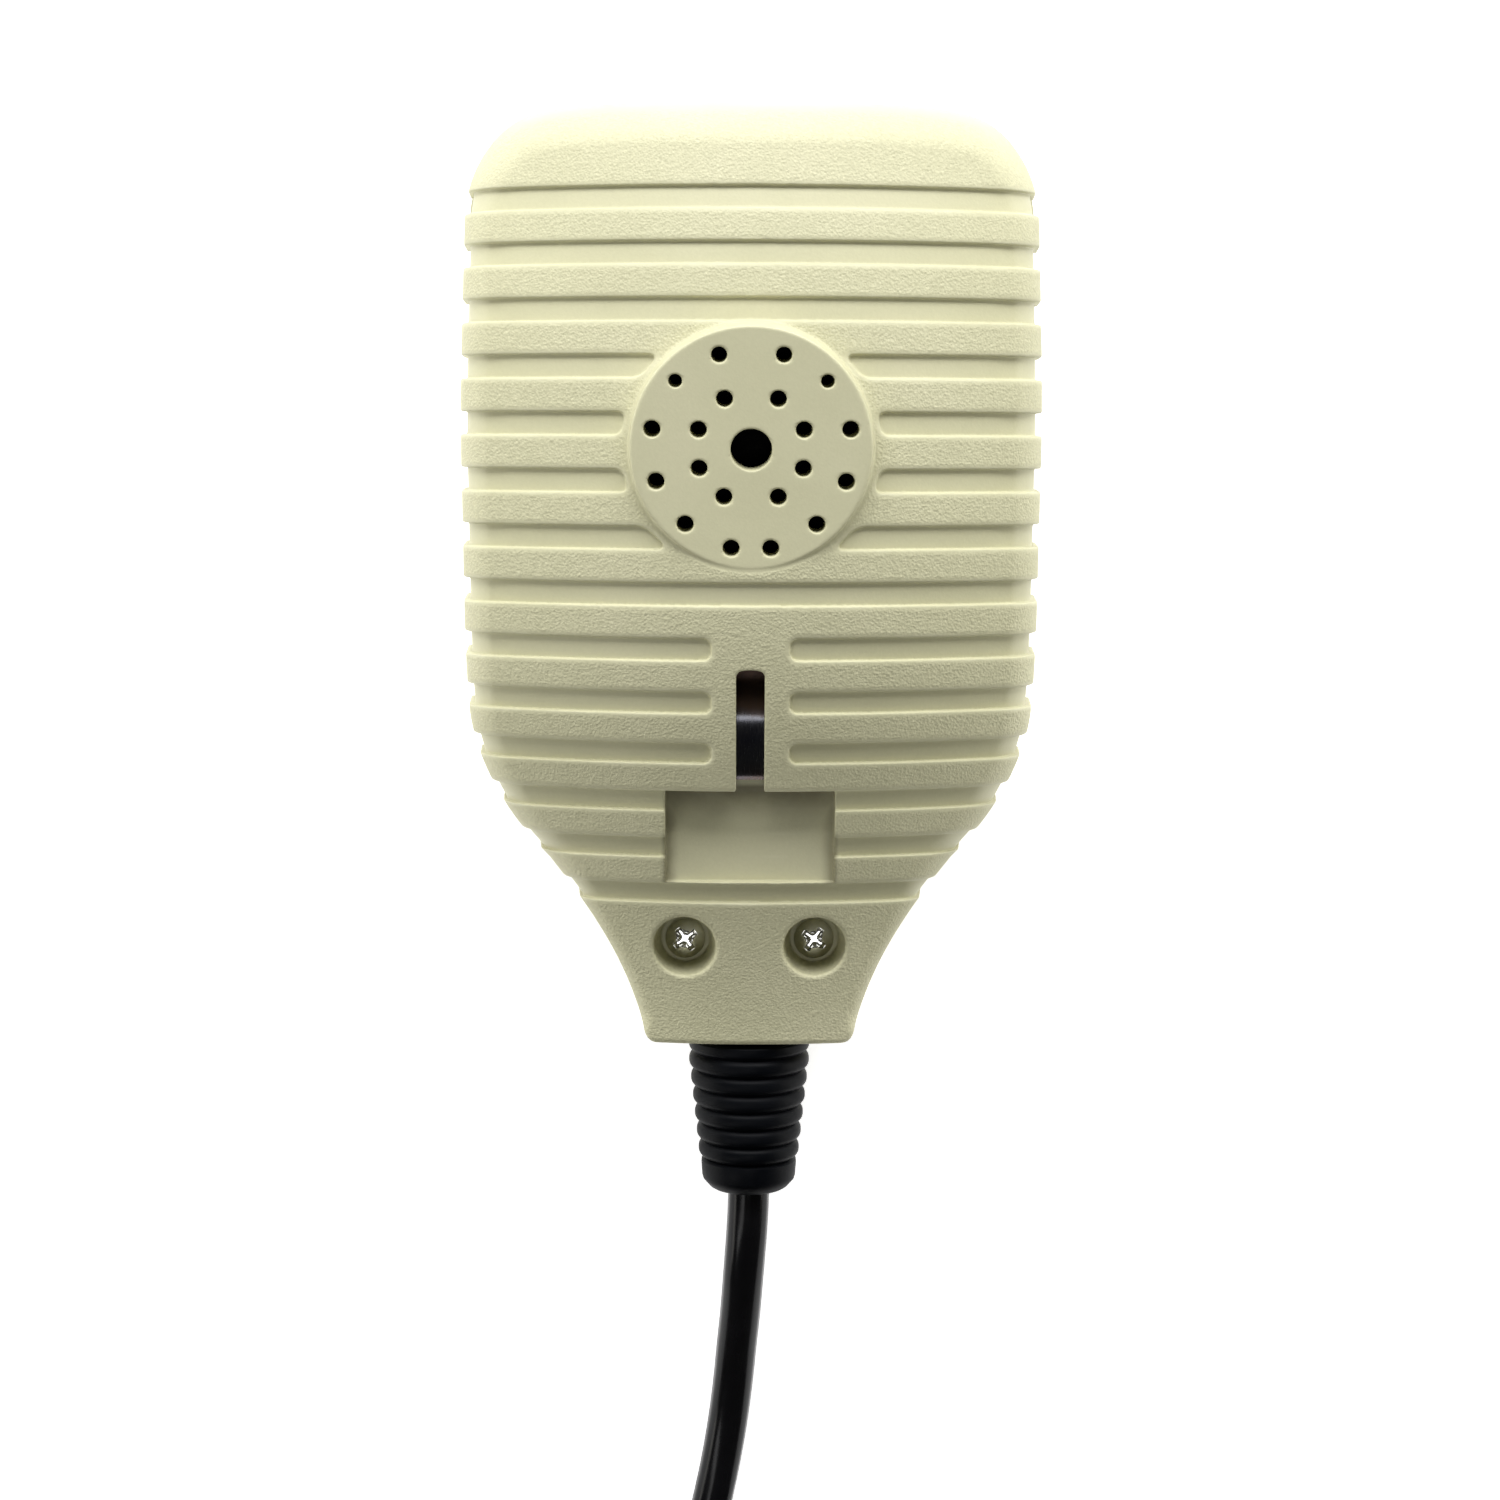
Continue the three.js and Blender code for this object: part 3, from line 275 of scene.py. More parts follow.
def half_outline():
    """The right half of the plan outline at the top of the side walls, from the top end down."""
    knots = [
        ((0, TOP_END), (12, 51.05), (20.6, 51.1), (24.4, 49.7)),
        ((24.4, 49.7), (27.6, 48.4), (30.3, 44.5), (30.5, 39.6)),
        ((30.5, 39.6), (30.55, 30), (31, 20), (30.8, 11)),
        ((30.8, 11), (30.6, 2), (30.9, -7), (30.45, -14)),
        ((30.45, -14), (30, -18.4), (27.7, -24.7), (22.2, -30)),
        ((22.2, -30), (16.9, -36.6), (13.9, -41.7), (11.8, -49.4)),
        ((11.8, -49.4), (11.6, -50.8), (11.2, BOTTOM_END), (10.2, BOTTOM_END)),
        ((10.2, BOTTOM_END), (6.8, BOTTOM_END), (3.4, BOTTOM_END), (0, BOTTOM_END)),
    ]
    return np.vstack([bezier(*knot, 16)[:-1] for knot in knots] + [np.array([[0, BOTTOM_END]])])


def outline_distance(x, y):
    """Signed distance in plan to the outline, negative inside."""
    points = half_outline()
    right = np.abs(x)
    nearest = np.full(np.broadcast(x, y).shape, 1e9, dtype=np.float32)
    inside = np.zeros(nearest.shape, dtype=bool)
    for (ax, ay), (bx, by) in zip(points, points[1:]):
        along_x, along_y = bx - ax, by - ay
        t = ((right - ax) * along_x + (y - ay) * along_y) / (along_x**2 + along_y**2)
        t = np.clip(t, 0, 1)
        away = (right - ax - t * along_x) ** 2 + (y - ay - t * along_y) ** 2
        nearest = np.minimum(nearest, away)
        if ay != by:
            crossing = ax + (y - ay) * along_x / along_y
            inside |= (y <= max(ay, by)) & (y > min(ay, by)) & (right < crossing)
    return np.where(inside, -np.sqrt(nearest), np.sqrt(nearest))


def spine_height(y):
    """Height of the ribbed face along the middle of the case."""
    fall = np.maximum(CROWN["y"] - y, 0)
    ramp_start, neck_start, slope = -18.0, -34.0, 0.44
    top = CROWN["height"] - (y - CROWN["y"]) ** 2 / (2 * 93)
    shoulder = CROWN["height"] - 4.36e-4 * fall**2.656
    ramp_top = CROWN["height"] - 4.36e-4 * (CROWN["y"] - ramp_start) ** 2.656
    ramp = ramp_top - slope * (ramp_start - y)
    run = neck_start - y
    neck = ramp_top - slope * (ramp_start - neck_start) - slope * run + 0.0068 * run**2
    return np.select([y >= CROWN["y"], y >= ramp_start, y >= neck_start], [top, shoulder, ramp], neck)


def groove_ends():
    """The y of each groove's end towards the neck and the one towards the top, by its number."""
    step = 0.02
    ends = {}
    for way in (-1, 1):
        y = CROWN["y"] + way * np.arange(0, 72, step)
        gone = np.concatenate([[0], np.cumsum(np.hypot(np.diff(y), np.diff(spine_height(y))))])
        for number in range(GROOVES["first"], GROOVES["last"] + 1):
            low = number * GROOVES["pitch"] + GROOVES["shift"]
            for side, distance in (("low", low), ("high", low - GROOVES["width"])):
                if distance * -way >= 0:
                    ends[(number, side)] = float(np.interp(abs(distance), gone, y))
    return ends


def groove_distance(x, y):
    """Signed distance in plan to the nearest groove, negative inside a groove."""
    ends = groove_ends()
    from_disc = np.sqrt(x**2 + (y - DISC["y"]) ** 2)
    nearest = np.full(np.broadcast(x, y).shape, 1e3, dtype=np.float32)
    for number in range(GROOVES["first"], GROOVES["last"] + 1):
        low, high = ends[(number, "low")], ends[(number, "high")]
        band = np.abs(y - (low + high) / 2) - (high - low) / 2
        if number in ROUND_FIELD["grooves"]:
            groove = cut_round(band, ROUND_FIELD["radius"] - from_disc, GROOVE_END)
        elif number in STRIP_FIELD["grooves"]:
            groove = cut_round(band, STRIP_FIELD["half"] - np.abs(x), GROOVE_END)
        else:
            groove = band + 0 * x
        nearest = np.minimum(nearest, groove)
    return nearest


def rear_form(x, y, z):
    """The rear cover's outer form at rib height, without its rim."""
    cross = CROWN["cross_radius"]
    spine = spine_height(y)
    face = spine - x**2 / (2 * cross)
    steepness = np.gradient(spine, axis=1) / np.gradient(y, axis=1)
    upright = 1 / np.sqrt(1 + (x / cross) ** 2 + steepness**2)
    corner = 3.2 + ease(y, 37, 50) * 2.0 - ease(-y, 26, 40) * 1.6 - ease(-y, 47.6, 50.6) * 1.0
    wall_top = face + 1.0 - corner
    side = outline_distance(x, y) - (wall_top - z) * REAR_DRAFT
    return cut_round(side, (z - face) * upright, corner)


def disc_places(x, y, z):
    """Coordinates in the sound disc's own frame, whose z is 0 on its face."""
    low = DISC["y"] - 12.6
    height = float(spine_height(np.array(low))) + 12.6 * math.tan(DISC["tilt"])
    turned, level = math.sin(DISC["tilt"]), math.cos(DISC["tilt"])
    across = (y - DISC["y"]) * level + (z - height) * turned
    above = (z - height) * level - (y - DISC["y"]) * turned
    return x, across, above


def holes_distance(x, across):
    """Distance in the disc's plane to the nearest sound hole's edge."""
    nearest = np.sqrt(x**2 + (across - DISC["centre_y"]) ** 2) - DISC["centre_hole"]
    for ring, angles, radius in HOLE_RINGS:
        for angle in angles:
            hole_x = ring * math.sin(math.radians(angle))
            hole_y = ring * math.cos(math.radians(angle))
            nearest = np.minimum(nearest, np.hypot(np.abs(x) - hole_x, across - hole_y) - radius)
    return nearest


def recess_floor(y):
    """The floor falls towards the neck and runs out into the ninth groove."""
    return 23.7 + 0.02 * np.maximum(y + 22, 0) - 0.115 * np.maximum(-22 - y, 0)


# ---------------------------------------- rear cover


def add_disc(body, grid):
    where, (x, y, z) = grid.part((0, 0, 26), (15, 30, 40))
    x, across, above = disc_places(x, y, z)
    radius = np.sqrt(x**2 + across**2)
    disc = cut_round(radius - DISC["radius"] + 0.12 * above, above, 0.22)
    disc = np.maximum(disc, -5 - above)
    body[where] = join_round(body[where], disc, 0.2)


def add_inside(body, form, grid):
    x, y, z = grid.x, grid.y, grid.z
    from_disc = np.sqrt(x**2 + (y - DISC["y"]) ** 2)
    felt_rim = np.maximum(np.abs(from_disc - 12.2) - 0.6, 27.6 - z)
    boss = np.sqrt((x - SCREW["x"]) ** 2 + (y - SCREW["y"]) ** 2) - 4.6
    tub = np.maximum(x - 10.7, np.maximum(-33.6 - y, y + 5))
    tub = np.maximum(tub, recess_floor(y) - 1.6 - z)
    inside = np.minimum(np.minimum(felt_rim, boss), tub)
    return join_round(body, np.maximum(inside, form + 0.9), 0.3)


def cut_sound_holes(body, grid):
    where, (x, y, z) = grid.part((0, 0, 26), (13, 30, 40))
    x, across, above = disc_places(x, y, z)
    body[where] = cut_round(body[where], -holes_distance(x, across) + 0 * above, 0.14)


def cut_hanger(body, grid):
    """The recess, the slot that leads from it, and the pocket behind the slot's lips."""
    where, (x, y, z) = grid.part((0, -36, 18), (12, -4, 40))
    lip, end = HANGER["lip"], HANGER["end"]
    floor = recess_floor(y) - z
    recess = np.maximum(x - HANGER["half"], np.abs(y - (lip + end) / 2) - (lip - end) / 2)
    recess = np.maximum(recess, floor)
    lip_under = float(spine_height(np.array(lip))) - 2.4
    back_under = float(spine_height(np.array(-6.6))) - 3.6
    ceiling = lip_under + (back_under - lip_under) * (y - lip) / (-6.6 - lip)
    pocket = np.maximum(x - HANGER["pocket_half"], np.maximum(lip - 0.4 - y, y + 6.6))
    pocket = np.maximum(np.maximum(pocket, floor), z - ceiling)
    bow = 0.25 * (1 - (x / HANGER["slot_half"]) ** 2)
    corner = 0.5
    over_x = np.maximum(x - HANGER["slot_half"] + corner, 0)
    over_y = np.maximum(y - HANGER["slot_top"] + corner - bow, 0)
    slot = np.maximum(x - HANGER["slot_half"], y - HANGER["slot_top"] - bow)
    slot = np.where((over_x > 0) & (over_y > 0), np.hypot(over_x, over_y) - corner, slot)
    slot = np.maximum(np.maximum(slot, lip - 0.4 - y), floor + 0.5)
    cut = cut_round(body[where], -slot, 0.16)
    cut = cut_round(cut, -recess, 0.16)
    body[where] = np.maximum(cut, -pocket)


def cut_screw_holes(body, grid):
    where, (x, y, z) = grid.part((2, -46, 10), (12, -33, 30))
    away = np.sqrt((x - SCREW["x"]) ** 2 + (y - SCREW["y"]) ** 2)
    pocket = np.maximum(away - SCREW["pocket"] + 0.11 * (19 - z), SCREW["seat"] - z)
    body[where] = cut_round(body[where], -pocket, 0.4)
    body[where] = np.maximum(body[where], 1.55 - away)


def make_rear_cover():
    grid = Grid((0, -52.6, 11.0), (33.2, 52.6, 37.4), (0.2, 0.12, 0.15))
    x, y, z = grid.x, grid.y, grid.z
    form = rear_form(x, y, z)
    ribs = cut_round(form, -groove_distance(x, y), 0.16)
    side = ease(x, 24, 30) * (1 - 0.5 * ease(-y, 14, 26))
    depth = GROOVE_DEPTH["face"] + (GROOVE_DEPTH["side"] - GROOVE_DEPTH["face"]) * side
    body = join_round(ribs, form + depth, 0.07)
    add_disc(body, grid)
    body = np.maximum(body, -(form + 0.8 + WALL))
    body = add_inside(body, form, grid)
    cut_sound_holes(body, grid)
    cut_hanger(body, grid)
    cut_screw_holes(body, grid)
    neck = np.sqrt(x**2 + (z - BOOT["height"]) ** 2) - BOOT["hole"]
    neck = np.maximum(neck, y - BOTTOM_END - BOOT["hole_depth"])
    spring_screw = np.maximum(np.sqrt(x**2 + (y + 8.4) ** 2) - 1.15, z - 25)
    body = np.maximum(np.maximum(body, -neck), -spring_screw)
    body = cut_round(body, REAR_RIM - z, 0.12)
    whole = np.concatenate([body[:0:-1], body], axis=0)
    grid.low = (-grid.step[0] * (body.shape[0] - 1), *grid.low[1:])
    piece = mesh_from_field("rear_cover_shell", whole, grid, 0.0)
    px, py, pz = vertex_places(piece.data)
    raised = groove_distance(px, py)
    off_disc = np.sqrt(px**2 + (py - DISC["y"]) ** 2) - 12.7
    in_recess = np.maximum(np.abs(px) - 9.0, np.abs(py + 26.8) - 5.3)
    outer = ease(pz - spine_height(py) + px**2 / 118 + 8, 5.0, 6.5)
    textured = ease(raised, 0.1, 0.6) * ease(off_disc, 0, 0.3) * ease(in_recess, 0, 0.3)
    paint(piece.data, "grain", textured * np.maximum(outer, ease(np.abs(px), 24, 27)))
    edge = 1 - ease(np.abs(raised - 0.18), 0.0, 0.3)
    paint(piece.data, "edge", edge * ease(off_disc, 0, 0.3))
    # Painted shade, partly soil: the recess floor is darkened under the lip and along its side walls, where
    # shade falls.
    from_lip, from_wall = HANGER["lip"] - py, HANGER["half"] - np.abs(px)
    sunk = ease(recess_floor(py) + 2.4 - pz, 0, 0.8) * ease(from_lip, -0.6, 0) * ease(from_wall, -0.6, 0)
    shaded = np.maximum(1 - ease(from_lip, 0, 4.2), 0.7 * (1 - ease(from_wall, 0, 1.6)))
    paint(piece.data, "soil_and_painted_shade", np.where((from_lip < 10.6) & (np.abs(py) < 34), sunk * shaded, 0))
    return piece


# ---------------------------------------- front cover


def front_form(x, y, z, edge_radius):
    widen = 0.45 * ease(y, 29, 41) - 0.3
    lean = (FRONT_RIM - 4.2) * math.tan(math.radians(3)) + widen
    side = outline_distance(x, y) - lean * (z - 4.2) / (FRONT_RIM - 4.2)
    return cut_round(side, -z + 0 * x, edge_radius)


def sound_slots(x, y, z):
    nearest = np.full(np.broadcast(x, y).shape, 1e3, dtype=np.float32)
    for i in range(7):
        offset = (i - 3) * 3.8
        half = math.sqrt(14.5**2 - offset**2) - 0.8
        along = np.maximum(np.abs(x + 4) - half, 0)
        nearest = np.minimum(nearest, np.hypot(along, y - 16 - offset) - 0.8)
    return np.maximum(nearest + 0 * z, z - 3.4)


def front_posts(x, y, z):
    """Posts, saddle, capsule well, talk bar surround and ears on the inside of the front wall."""
    posts = [
        (SCREW["x"], SCREW["y"], FRONT_RIM, 2.7, 1.35),
        (10.4, -13, 5.9, 2.0, 0.9),
        (5.4, -32.8, FRONT_RIM, 1.9, 0.9),
    ]
    solid = box_field(x, y, z, (-4.6, -34.3, 1.7), (4.6, -31.3, 9.75), 0.2)
    for px, py, top, radius, hole in posts:
        away = np.sqrt((np.abs(x) - px) ** 2 + (y - py) ** 2)
        tube = np.maximum(np.maximum(away - radius, hole - away), z - top)
        solid = np.minimum(solid, np.maximum(tube, 1.2 - z))
    well = np.sqrt((x + 4) ** 2 + (y - 16) ** 2)
    solid = np.minimum(solid, np.maximum(np.maximum(np.abs(well - 14.8) - 0.6, z - 8), 1.2 - z))
    boxes = [
        ((28.6, -11.5, 1.2), (40, 33.5, FRONT_RIM)),
        ((25.4, -7.8, 1.7), (29, -2.6, 2.6)),
        ((25.4, -7.8, 9.4), (29, -2.6, FRONT_RIM)),
        ((22.6, 32.3, 1.7), (26.2, 37, 10.85)),
        ((18, 2.2, 1.7), (23, 13, 2.9)),
    ]
    for low, high in boxes:
        solid = np.minimum(solid, box_field(x, y, z, low, high, 0.15))
    return solid


def make_front_cover():
    grid = Grid((-33.0, -52.6, -0.6), (33.0, 52.6, 12.0), 0.25)
    x, y, z = grid.x, grid.y, grid.z
    form = front_form(x, y, z, 4.0)
    hollow = np.maximum(form + WALL, 0.0 * z - 1)
    body = np.maximum(form, -hollow)
    body = join_round(body, np.maximum(front_posts(x, y, z), form + 0.1), 0.3)
    body = cut_round(body, -sound_slots(x, y, z), 0.2)
    for groove in (-30, -25.5, -21):
        strip = np.maximum(np.abs(y - groove - 0.9) - 0.9, z - 0.5)
        body = cut_round(body, -strip + 0 * x, 0.15)
    neck = np.sqrt(x**2 + np.minimum(z - BOOT["height"], 0) ** 2) - BOOT["hole"]
    body = np.maximum(body, -np.maximum(neck, y - BOTTOM_END - BOOT["hole_depth"]))
    saddle = np.sqrt(x**2 + np.minimum(z - BOOT["height"], 0) ** 2) - CORD_DIAMETER / 2 - 0.3
    body = np.maximum(body, -np.maximum(saddle, np.abs(y + 32.8) - 4))
    body = cut_round(body, -box_field(x, y, z, (30.2, -10.5, 1.9), (45, 32.5, 10.1), 1.2), 0.3)
    body = cut_round(body, -box_field(x, y, z, (26.6, -8.9, 2.5), (45, 30.9, 9.5), 0.5), 0.2)
    pin = np.sqrt((x - 27.6) ** 2 + (y + 5.2) ** 2) - 1.08
    body = np.maximum(body, -np.maximum(pin, 1.3 - z))
    leaf = box_field(x, y, z, (23.75, 31.5, 4.4), (24.65, 35.5, 20))
    body = np.maximum(body, -leaf)
    body = cut_round(body, z - FRONT_RIM, 0.12)
    piece = mesh_from_field("front_cover_shell", body, grid, 0.0)
    px, py, pz = vertex_places(piece.data)
    outside = ease(-outline_distance(px, py), -0.6, 2.0)
    paint(piece.data, "grain", np.maximum(ease(-pz, -0.3, 0.2), 1 - outside))
    paint(piece.data, "edge", np.zeros(len(px)))
    return piece


# ---------------------------------------- turned and swept pieces


def turned_mesh(name, profile, sides, place, turn=None, swell=None):
    """A turned piece round +Z. The profile runs from axis to axis as (radius, z).

    swell(angle, z) adds to the radii.
    """
    build = bmesh.new()
    rings = []
    for radius, height in profile:
        if radius < 1e-6:
            rings.append([build.verts.new((0, 0, height))])
            continue
        ring = []
        for i in range(sides):
            angle = 2 * math.pi * i / sides
            reach = radius + (swell(angle, radius, height) if swell else 0)
            ring.append(build.verts.new((reach * math.cos(angle), reach * math.sin(angle), height)))
        rings.append(ring)
    for lower, upper in zip(rings, rings[1:]):
        for i in range(sides):
            j = (i + 1) % sides
            corners = [lower[i % len(lower)], lower[j % len(lower)]]
            corners += [upper[j % len(upper)], upper[i % len(upper)]]
            distinct = list(dict.fromkeys(corners))
            if len(distinct) > 2:
                build.faces.new(distinct)
    bmesh.ops.recalc_face_normals(build, faces=build.faces)
    matrix = Matrix.Translation(Vector(place)) @ (turn or Matrix.Identity(4))
    bmesh.ops.transform(build, matrix=Matrix.Scale(MM, 4) @ matrix, verts=build.verts)
    return mesh_object(name, build)


def mesh_object(name, build, sharp=35):
    mesh = bpy.data.meshes.new(name)
    build.to_mesh(mesh)
    build.free()
    mesh.polygons.foreach_set("use_smooth", [True] * len(mesh.polygons))
    mesh.set_sharp_from_angle(angle=math.radians(sharp))
    piece = bpy.data.objects.new(name, mesh)
    bpy.context.collection.objects.link(piece)
    return piece


def rounded(points, radius, steps=4):
    """An outline of (radius, height) points with its inner corners rounded."""
    corners = [Vector(p) for p in points]
    path = [corners[0]]
    for before, corner, after in zip(corners, corners[1:], corners[2:]):
        back, on = before - corner, after - corner
        reach = min(radius, back.length * 0.45, on.length * 0.45)
        start, end = corner + back.normalized() * reach, corner + on.normalized() * reach
        for i in range(steps + 1):
            t = i / steps
            path.append(start * (1 - t) ** 2 + corner * 2 * t * (1 - t) + end * t * t)
    path.append(corners[-1])
    return [tuple(p) for p in path]


def boot_profile():
    """Radius and distance beyond the case's end, from inside the case to the cord's mouth."""
    first, pitch, ribs, deep = 3.1, 2.06, 6, 0.6
    collar = 6.85
    inner = [(0, -5.2), (5.0, -5.2), (5.0, -3.4), (4.0, -3.4), (4.0, 0.6), (collar, 0.6), (collar, 1.5)]
    inner = rounded(inner, 0.25)
    points = inner + [(6.75, 1.75), (6.3, first - pitch / 2)]
    for i in range(ribs):
        crest = 6.84 - i * 0.22
        for k in range(-6, 7):
            away = k / 6.5
            points.append((crest - deep * abs(away) ** 2.8, first + (i + away / 2) * pitch))
    sleeve = first + (ribs - 0.5) * pitch
    points += [(4.95, sleeve), (5.4, sleeve + 0.35), (5.43, sleeve + 0.7), (5.33, 16.6), (5.2, 17.0)]
    points += [(4.85, 17.4), (4.5, 17.8), (4.1, 18.05), (3.4, 18.2)]
    points += [(2.9, 18.15), (2.7, 17.9), (2.65, 17.0), (0, 17.0)]
    return points


def make_boot():
    turn = Matrix.Rotation(math.pi / 2, 4, "X")
    return turned_mesh("strain_relief_ribs", boot_profile(), 96, (0, BOTTOM_END, BOOT["height"]), turn)


def cross_recess(x, y, z, radius, height):
    """A tapered cross recess in a screw head."""
    lower = (height - z) * 0.28
    blade = radius * 0.17 - lower * 0.5
    reach = radius * 0.66 - lower
    arm_a = np.maximum(np.abs(x) - reach, np.abs(y) - blade)
    arm_b = np.maximum(np.abs(y) - reach, np.abs(x) - blade)
    core = (np.abs(x) + np.abs(y)) * 0.7071 - radius * 0.32 + lower * 0.7
    return np.maximum(np.minimum(np.minimum(arm_a, arm_b), core), height * 0.3 - z)


def screw_mesh(name, size, place, turn, spin):
    """A pan-head screw with a cross recess; its axis is +Z before it is turned, and its head is up."""
    radius, height, shank, length = size
    grid = Grid((-radius - 0.2, -radius - 0.2, -0.3), (radius + 0.2, radius + 0.2, height + 0.3), 0.06)
    x, y, z = grid.x, grid.y, grid.z
    dome_radius = (radius**2 + (height * 0.45) ** 2) / (2 * height * 0.45)
    dome = np.sqrt(x**2 + y**2 + (z - height + dome_radius) ** 2) - dome_radius
    head = cut_round(cut_round(np.sqrt(x**2 + y**2) - radius, dome, 0.25), 0.15 - z, 0.1)
    head = cut_round(head, -cross_recess(x, y, z, radius, height), 0.07)
    piece = mesh_from_field(name, head, grid, 0.02)
    build = bmesh.new()
    build.from_mesh(piece.data)
    build.transform(Matrix.Scale(1 / MM, 4))
    add_thread(build, shank, length)
    matrix = Matrix.Translation(Vector(place)) @ turn @ Matrix.Rotation(spin, 4, "Z")
    build.transform(Matrix.Scale(MM, 4) @ matrix)
    bpy.data.objects.remove(piece)
    return mesh_object(name, build)


def add_thread(build, shank, length):
    """A shank with ring-shaped thread crests, as a closed body of its own under the head."""
    pitch = shank * 0.6
    profile = [(0, 0.3), (shank * 0.85, 0.3)]
    turns = int((length - shank) / pitch)
    for i in range(turns):
        profile += [(shank, -pitch * (i + 0.3)), (shank * 0.78, -pitch * (i + 0.8))]
    profile += [(shank * 0.3, -length), (0, -length)]
    sides = 20
    rings = []
    for radius, height in profile:
        count = sides if radius > 0 else 1
        angles = [2 * math.pi * i / sides for i in range(count)]
        rings.append([build.verts.new((radius * math.cos(a), radius * math.sin(a), height)) for a in angles])
    for upper, lower in zip(rings, rings[1:]):
        for i in range(sides):
            j = (i + 1) % sides
            corners = [lower[i % len(lower)], lower[j % len(lower)]]
            corners += [upper[j % len(upper)], upper[i % len(upper)]]
            distinct = list(dict.fromkeys(corners))
            build.faces.new(distinct)


def make_hanger_spring():
    """A bent strip of spring steel: foot, rise, rounded grip and a turned-up tip."""
    half, thick = 3.6, 0.4
    above_floor = 0.32
    bends = [(y, recess_floor(y) + above_floor) for y in (-6.9, -9.9)] + [(-11.6, 26.1), (-12.7, 26.62)]
    bends += [(-13.7, 26.75), (-15.4, 26.45), (-17.6, 25.6), (-19.6, 24.95), (-20.15, 24.85), (-20.55, 24.85)]
    route = smooth_route([(0, y, z) for y, z in bends], 0.25)
    build = bmesh.new()
    rows = []
    for i, point in enumerate(route):
        before, after = route[max(i - 1, 0)], route[min(i + 1, len(route) - 1)]
        along = (after - before).normalized()
        up = Vector((0, -along.z, along.y))
        if up.z < 0:
            up.negate()
        section = [(-half, 0.1), (-half, thick - 0.1), (-half + 0.1, thick), (0, thick), (half - 0.1, thick)]
        section += [(half, thick - 0.1), (half, 0.1), (half - 0.1, 0), (0, 0), (-half + 0.1, 0)]
        places = [(x, point.y + up.y * lift, point.z + up.z * lift) for x, lift in section]
        rows.append([build.verts.new(place) for place in places])
    for a, b in zip(rows, rows[1:]):
        for i in range(len(a)):
            j = (i + 1) % len(a)
            build.faces.new((a[i], a[j], b[j], b[i]))
    build.faces.new(rows[0])
    build.faces.new(list(reversed(rows[-1])))
    bmesh.ops.recalc_face_normals(build, faces=build.faces)
    build.transform(Matrix.Scale(MM, 4))
    return mesh_object("hanger_spring_strip", build, 40)


def make_talk_bar():
    """The bar's outer face is rounded and has shallow grip grooves across it."""
    grid = Grid((25.2, -9.2, 2.4), (32.2, 31.2, 9.6), 0.14)
    x, y, z = grid.x, grid.y, grid.z
    body = box_field(x, y, z, (28.4, -8.5, 2.9), (31.1, 30.5, 9.1), 0.7)
    for i in range(11):
        groove = np.hypot(x - 31.45, y - 11.5 - i * 1.6) - 0.62
        body = cut_round(body, -groove + 0 * z, 0.12)
    flange = box_field(x, y, z, (28.0, -7.0, 2.9), (29.2, 30.5, 9.1), 0.3)
    inner = box_field(x, y, z, (27.2, -5.2, 4.2), (28.4, 28.5, 7.8), 0.2)
    ear = box_field(x, y, z, (25.9, -7.4, 3.2), (28.6, -3.0, 8.8), 0.4)
    nose = box_field(x, y, z, (25.6, 7.0, 4.8), (27.8, 9.6, 7.4), 0.2)
    for part in (flange, inner, ear, nose):
        body = join_round(body, part, 0.15)
    body = np.maximum(body, 1.1 - np.sqrt((x - 27.6) ** 2 + (y + 5.2) ** 2) + 0 * z)
    return mesh_from_field("talk_bar_grip", body, grid, 0.0)


PLUG_TURN = Matrix.Rotation(math.pi / 2, 4, "X")
PLUG_PLACE = (5.0, -146.0, 9.5)


def make_plug_shell():
    low, high = 12.6, 17.8  # the gripped band
    profile = [(2.9, 6.0), (2.9, 0.25), (3.15, 0.0)]
    outside = [(3.15, 0.0), (5.6, 0.0), (5.6, 8.6), (8.0, 11.4), (8.0, 19.0), (7.2, 19.4), (7.2, 30.0)]
    profile += rounded(outside, 0.35)
    profile += [(7.0, 30.0), (6.6, 29.8), (6.6, 16.2), (2.9, 12.0), (2.9, 6.0)]

    def grip(angle, radius, height):
        gripped = low < height < high and radius > 7.9
        return -0.18 * (0.5 + 0.5 * math.cos(angle * 32)) if gripped else 0

    at = next(i for i, (r, h) in enumerate(profile) if r > 7.9 and h > high)
    profile[at:at] = [(8.0, low - 0.01), (8.0, low + 0.25), (8.0, high - 0.25), (8.0, high + 0.01)]
    return turned_mesh("plug_body", profile, 192, PLUG_PLACE, PLUG_TURN, grip)


def make_plug_ring():
    outside = [(7.9, 31.0), (7.9, 33.2), (8.1, 33.4), (8.6, 33.4), (8.9, 33.2), (9.25, 32.6), (9.3, 32.3)]
    knurled = [(9.3, 32.2), (9.3, 31.9), (9.3, 30), (9.3, 28), (9.3, 26), (9.3, 24), (9.3, 21.3), (9.3, 21.0)]
    lip = [(9.3, 20.9), (9.2, 20.6), (9.0, 20.3), (8.5, 20.0), (8.3, 20.05), (8.25, 20.8)]
    profile = outside + knurled + lip
    profile += [(8.3, 30.6), (7.9, 31.0)]

    def knurl(angle, radius, height):
        if radius < 9.29 or not 20.95 < height < 32.25:
            return 0
        wave = abs(((angle * 60 / (2 * math.pi)) % 1) - 0.5) * 2
        return -0.28 * wave**1.5

    return turned_mesh("plug_ring_knurled", profile, 480, PLUG_PLACE, PLUG_TURN, knurl)


def make_felt():
    """Acoustic felt behind the sound holes, with a fuzzy, slightly uneven face."""
    profile = rounded([(0, 28.4), (11.3, 28.4), (11.3, 29.4), (0, 29.4)], 0.25)
    return turned_mesh("acoustic_felt", profile, 64, (0, DISC["y"], 0))


# ---------------------------------------- materials


